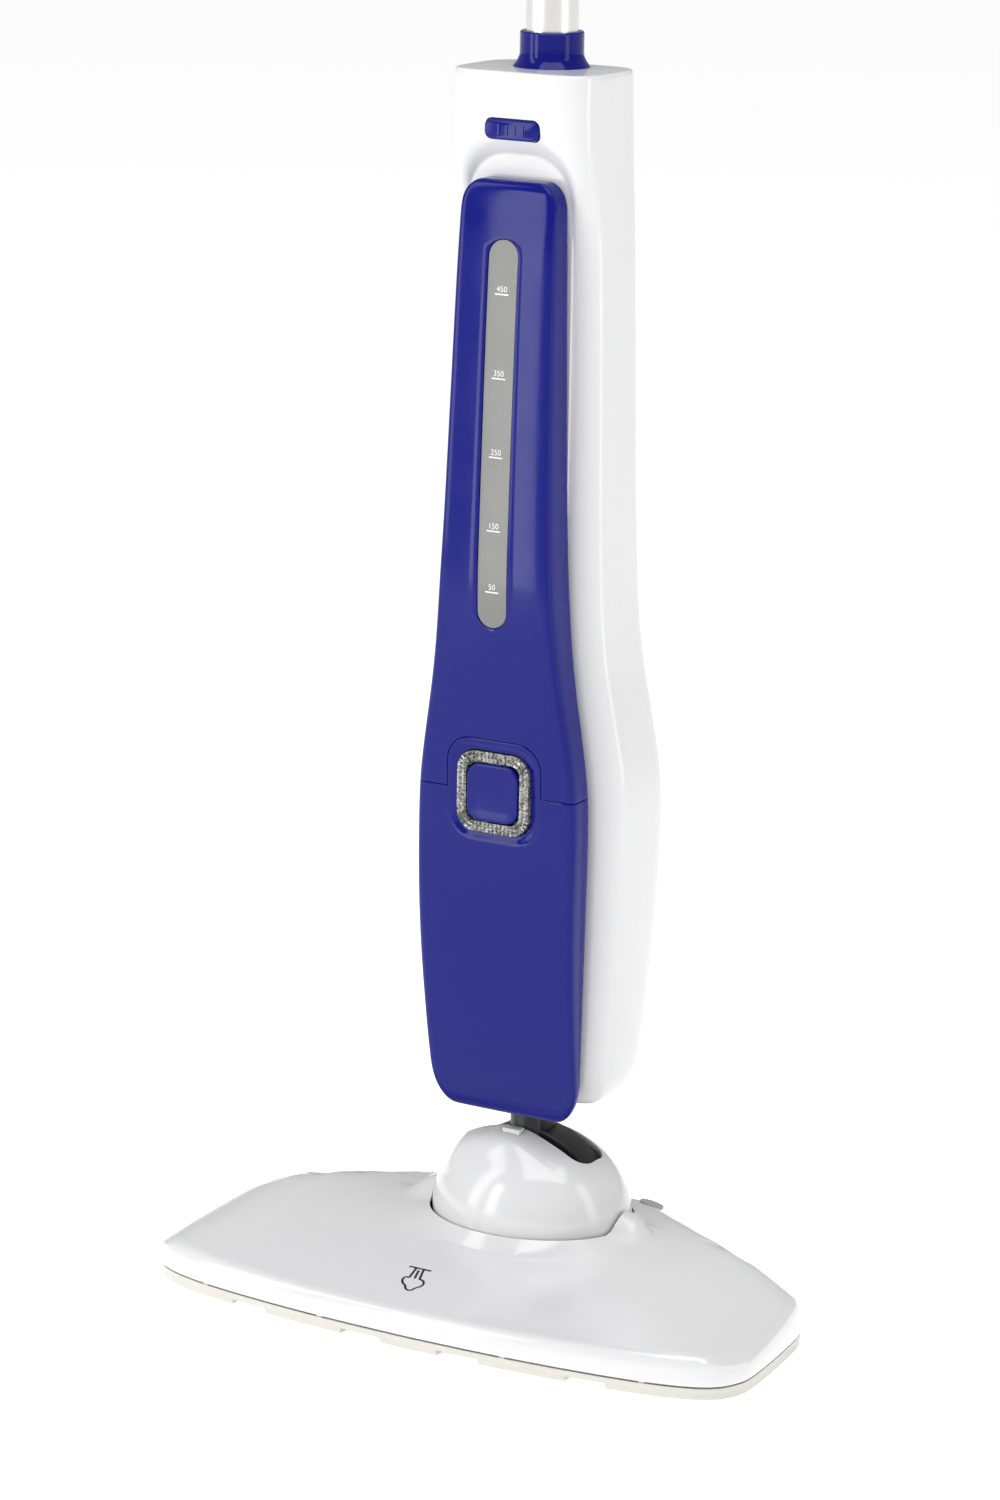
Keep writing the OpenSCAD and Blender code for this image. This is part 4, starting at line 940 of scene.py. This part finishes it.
# ---------- stage ----------
def make_stage():
    clear()
    bpy.ops.mesh.primitive_plane_add(size=200, location=(0, 0, -0.0002))
    floor = bpy.context.object
    floor.name = "studio_floor"
    made = bpy.data.materials.new("pale_floor")
    made.use_nodes = True
    shader = made.node_tree.nodes["Principled BSDF"]
    shader.inputs["Base Color"].default_value = (0.93, 0.93, 0.93, 1)
    shader.inputs["Emission Color"].default_value = (1, 1, 1, 1)
    net = made.node_tree
    # The floor's glow is turned down in an oval round the head: a painted soft shadow there. Farther
    # off, the floor glows evenly white.
    where = net.nodes.new("ShaderNodeTexCoord")
    fit = net.nodes.new("ShaderNodeMapping")
    fit.inputs["Scale"].default_value = (1 / (0.9 * head_hi.x), 1 / 0.082, 0)
    fit.inputs["Location"].default_value = (0, 0.30, 0)
    reach = net.nodes.new("ShaderNodeVectorMath")
    reach.operation = "LENGTH"
    painted_shadow_glow = net.nodes.new("ShaderNodeMapRange")
    painted_shadow_glow.inputs["From Min"].default_value = 0.75
    painted_shadow_glow.inputs["From Max"].default_value = 1.15
    painted_shadow_glow.inputs["To Min"].default_value = 0.05
    painted_shadow_glow.inputs["To Max"].default_value = 0.62
    net.links.new(where.outputs["Object"], fit.inputs["Vector"])
    net.links.new(fit.outputs["Vector"], reach.inputs[0])
    net.links.new(reach.outputs["Value"], painted_shadow_glow.inputs["Value"])
    net.links.new(painted_shadow_glow.outputs["Result"], shader.inputs["Emission Strength"])
    shader.inputs["Roughness"].default_value = 0.9
    shader.inputs["Specular IOR Level"].default_value = 0.1
    floor.data.materials.append(made)


def add_light(name, place, target, size_x, size_y, power):
    light = bpy.data.lights.new(name, "AREA")
    light.shape = "RECTANGLE"
    light.size = size_x
    light.size_y = size_y
    light.energy = power
    lamp = bpy.data.objects.new(name, light)
    lamp.location = place
    lamp.rotation_euler = (Vector(target) - Vector(place)).to_track_quat("-Z", "Y").to_euler()
    bpy.context.scene.collection.objects.link(lamp)


def make_lights():
    bpy.context.scene.view_settings.view_transform = "Standard"
    world = bpy.data.worlds.new("studio")
    bpy.context.scene.world = world
    world.use_nodes = True
    back = world.node_tree.nodes["Background"]
    back.inputs["Color"].default_value = (1, 1, 1, 1)
    back.inputs["Strength"].default_value = 0.36
    add_light("soft_left", (-1.35, -1.25, 1.05), (0, 0, 0.35), 0.45, 2.1, 9)
    add_light("soft_front", (-0.73, -1.43, 0.62), (0, 0, 0.55), 0.30, 1.2, 5)
    add_light("soft_right", (1.9, -0.1, 0.9), (0, 0, 0.3), 0.5, 1.8, 6)
    add_light("soft_top", (0.3, -0.5, 2.6), (0, 0, 0.1), 2.0, 2.0, 38)


def make_camera():
    azimuth, heading = math.radians(30.3), math.radians(30.3 + 0.47)
    pitch, roll = math.radians(13.67), math.radians(0.88)
    place = Vector((2.375 * math.sin(azimuth), -2.375 * math.cos(azimuth), 0.8513))
    ahead = Vector((-math.sin(heading), math.cos(heading), 0))
    right = Vector((math.cos(heading), math.sin(heading), 0))
    above = Vector((0, 0, 1))
    look = ahead * math.cos(pitch) - above * math.sin(pitch)
    rise = above * math.cos(pitch) + ahead * math.sin(pitch)
    cam_x = right * math.cos(roll) + rise * math.sin(roll)
    cam_y = rise * math.cos(roll) - right * math.sin(roll)
    lens = bpy.data.cameras.new("camera")
    lens.lens = 120
    lens.sensor_width = 36
    lens.clip_end = 250
    camera = bpy.data.objects.new("camera", lens)
    turned = Matrix((cam_x, cam_y, -look)).transposed().to_4x4()
    camera.matrix_world = Matrix.Translation(place) @ turned
    bpy.context.scene.collection.objects.link(camera)
    bpy.context.scene.camera = camera


make_camera()
make_stage()
make_lights()
paint = make_finishes()
paint_carried(paint)
head = rounded_copy("head_cover", "head_moulding", "floor_head", paint["white"], "white_gloss",
                    angle=38)
make_body(paint)
make_release_button(paint)
pane = make_blue_front(paint)
make_light_ring(paint)
make_power_key(paint)
make_dome(paint)
make_park_latch(paint)
for node, name, body, finish, slot, extras in KEPT:
    rounded_copy(node, name, body, paint[finish], slot, **extras)
make_steam_mark(paint, head)
make_scale(paint, pane)
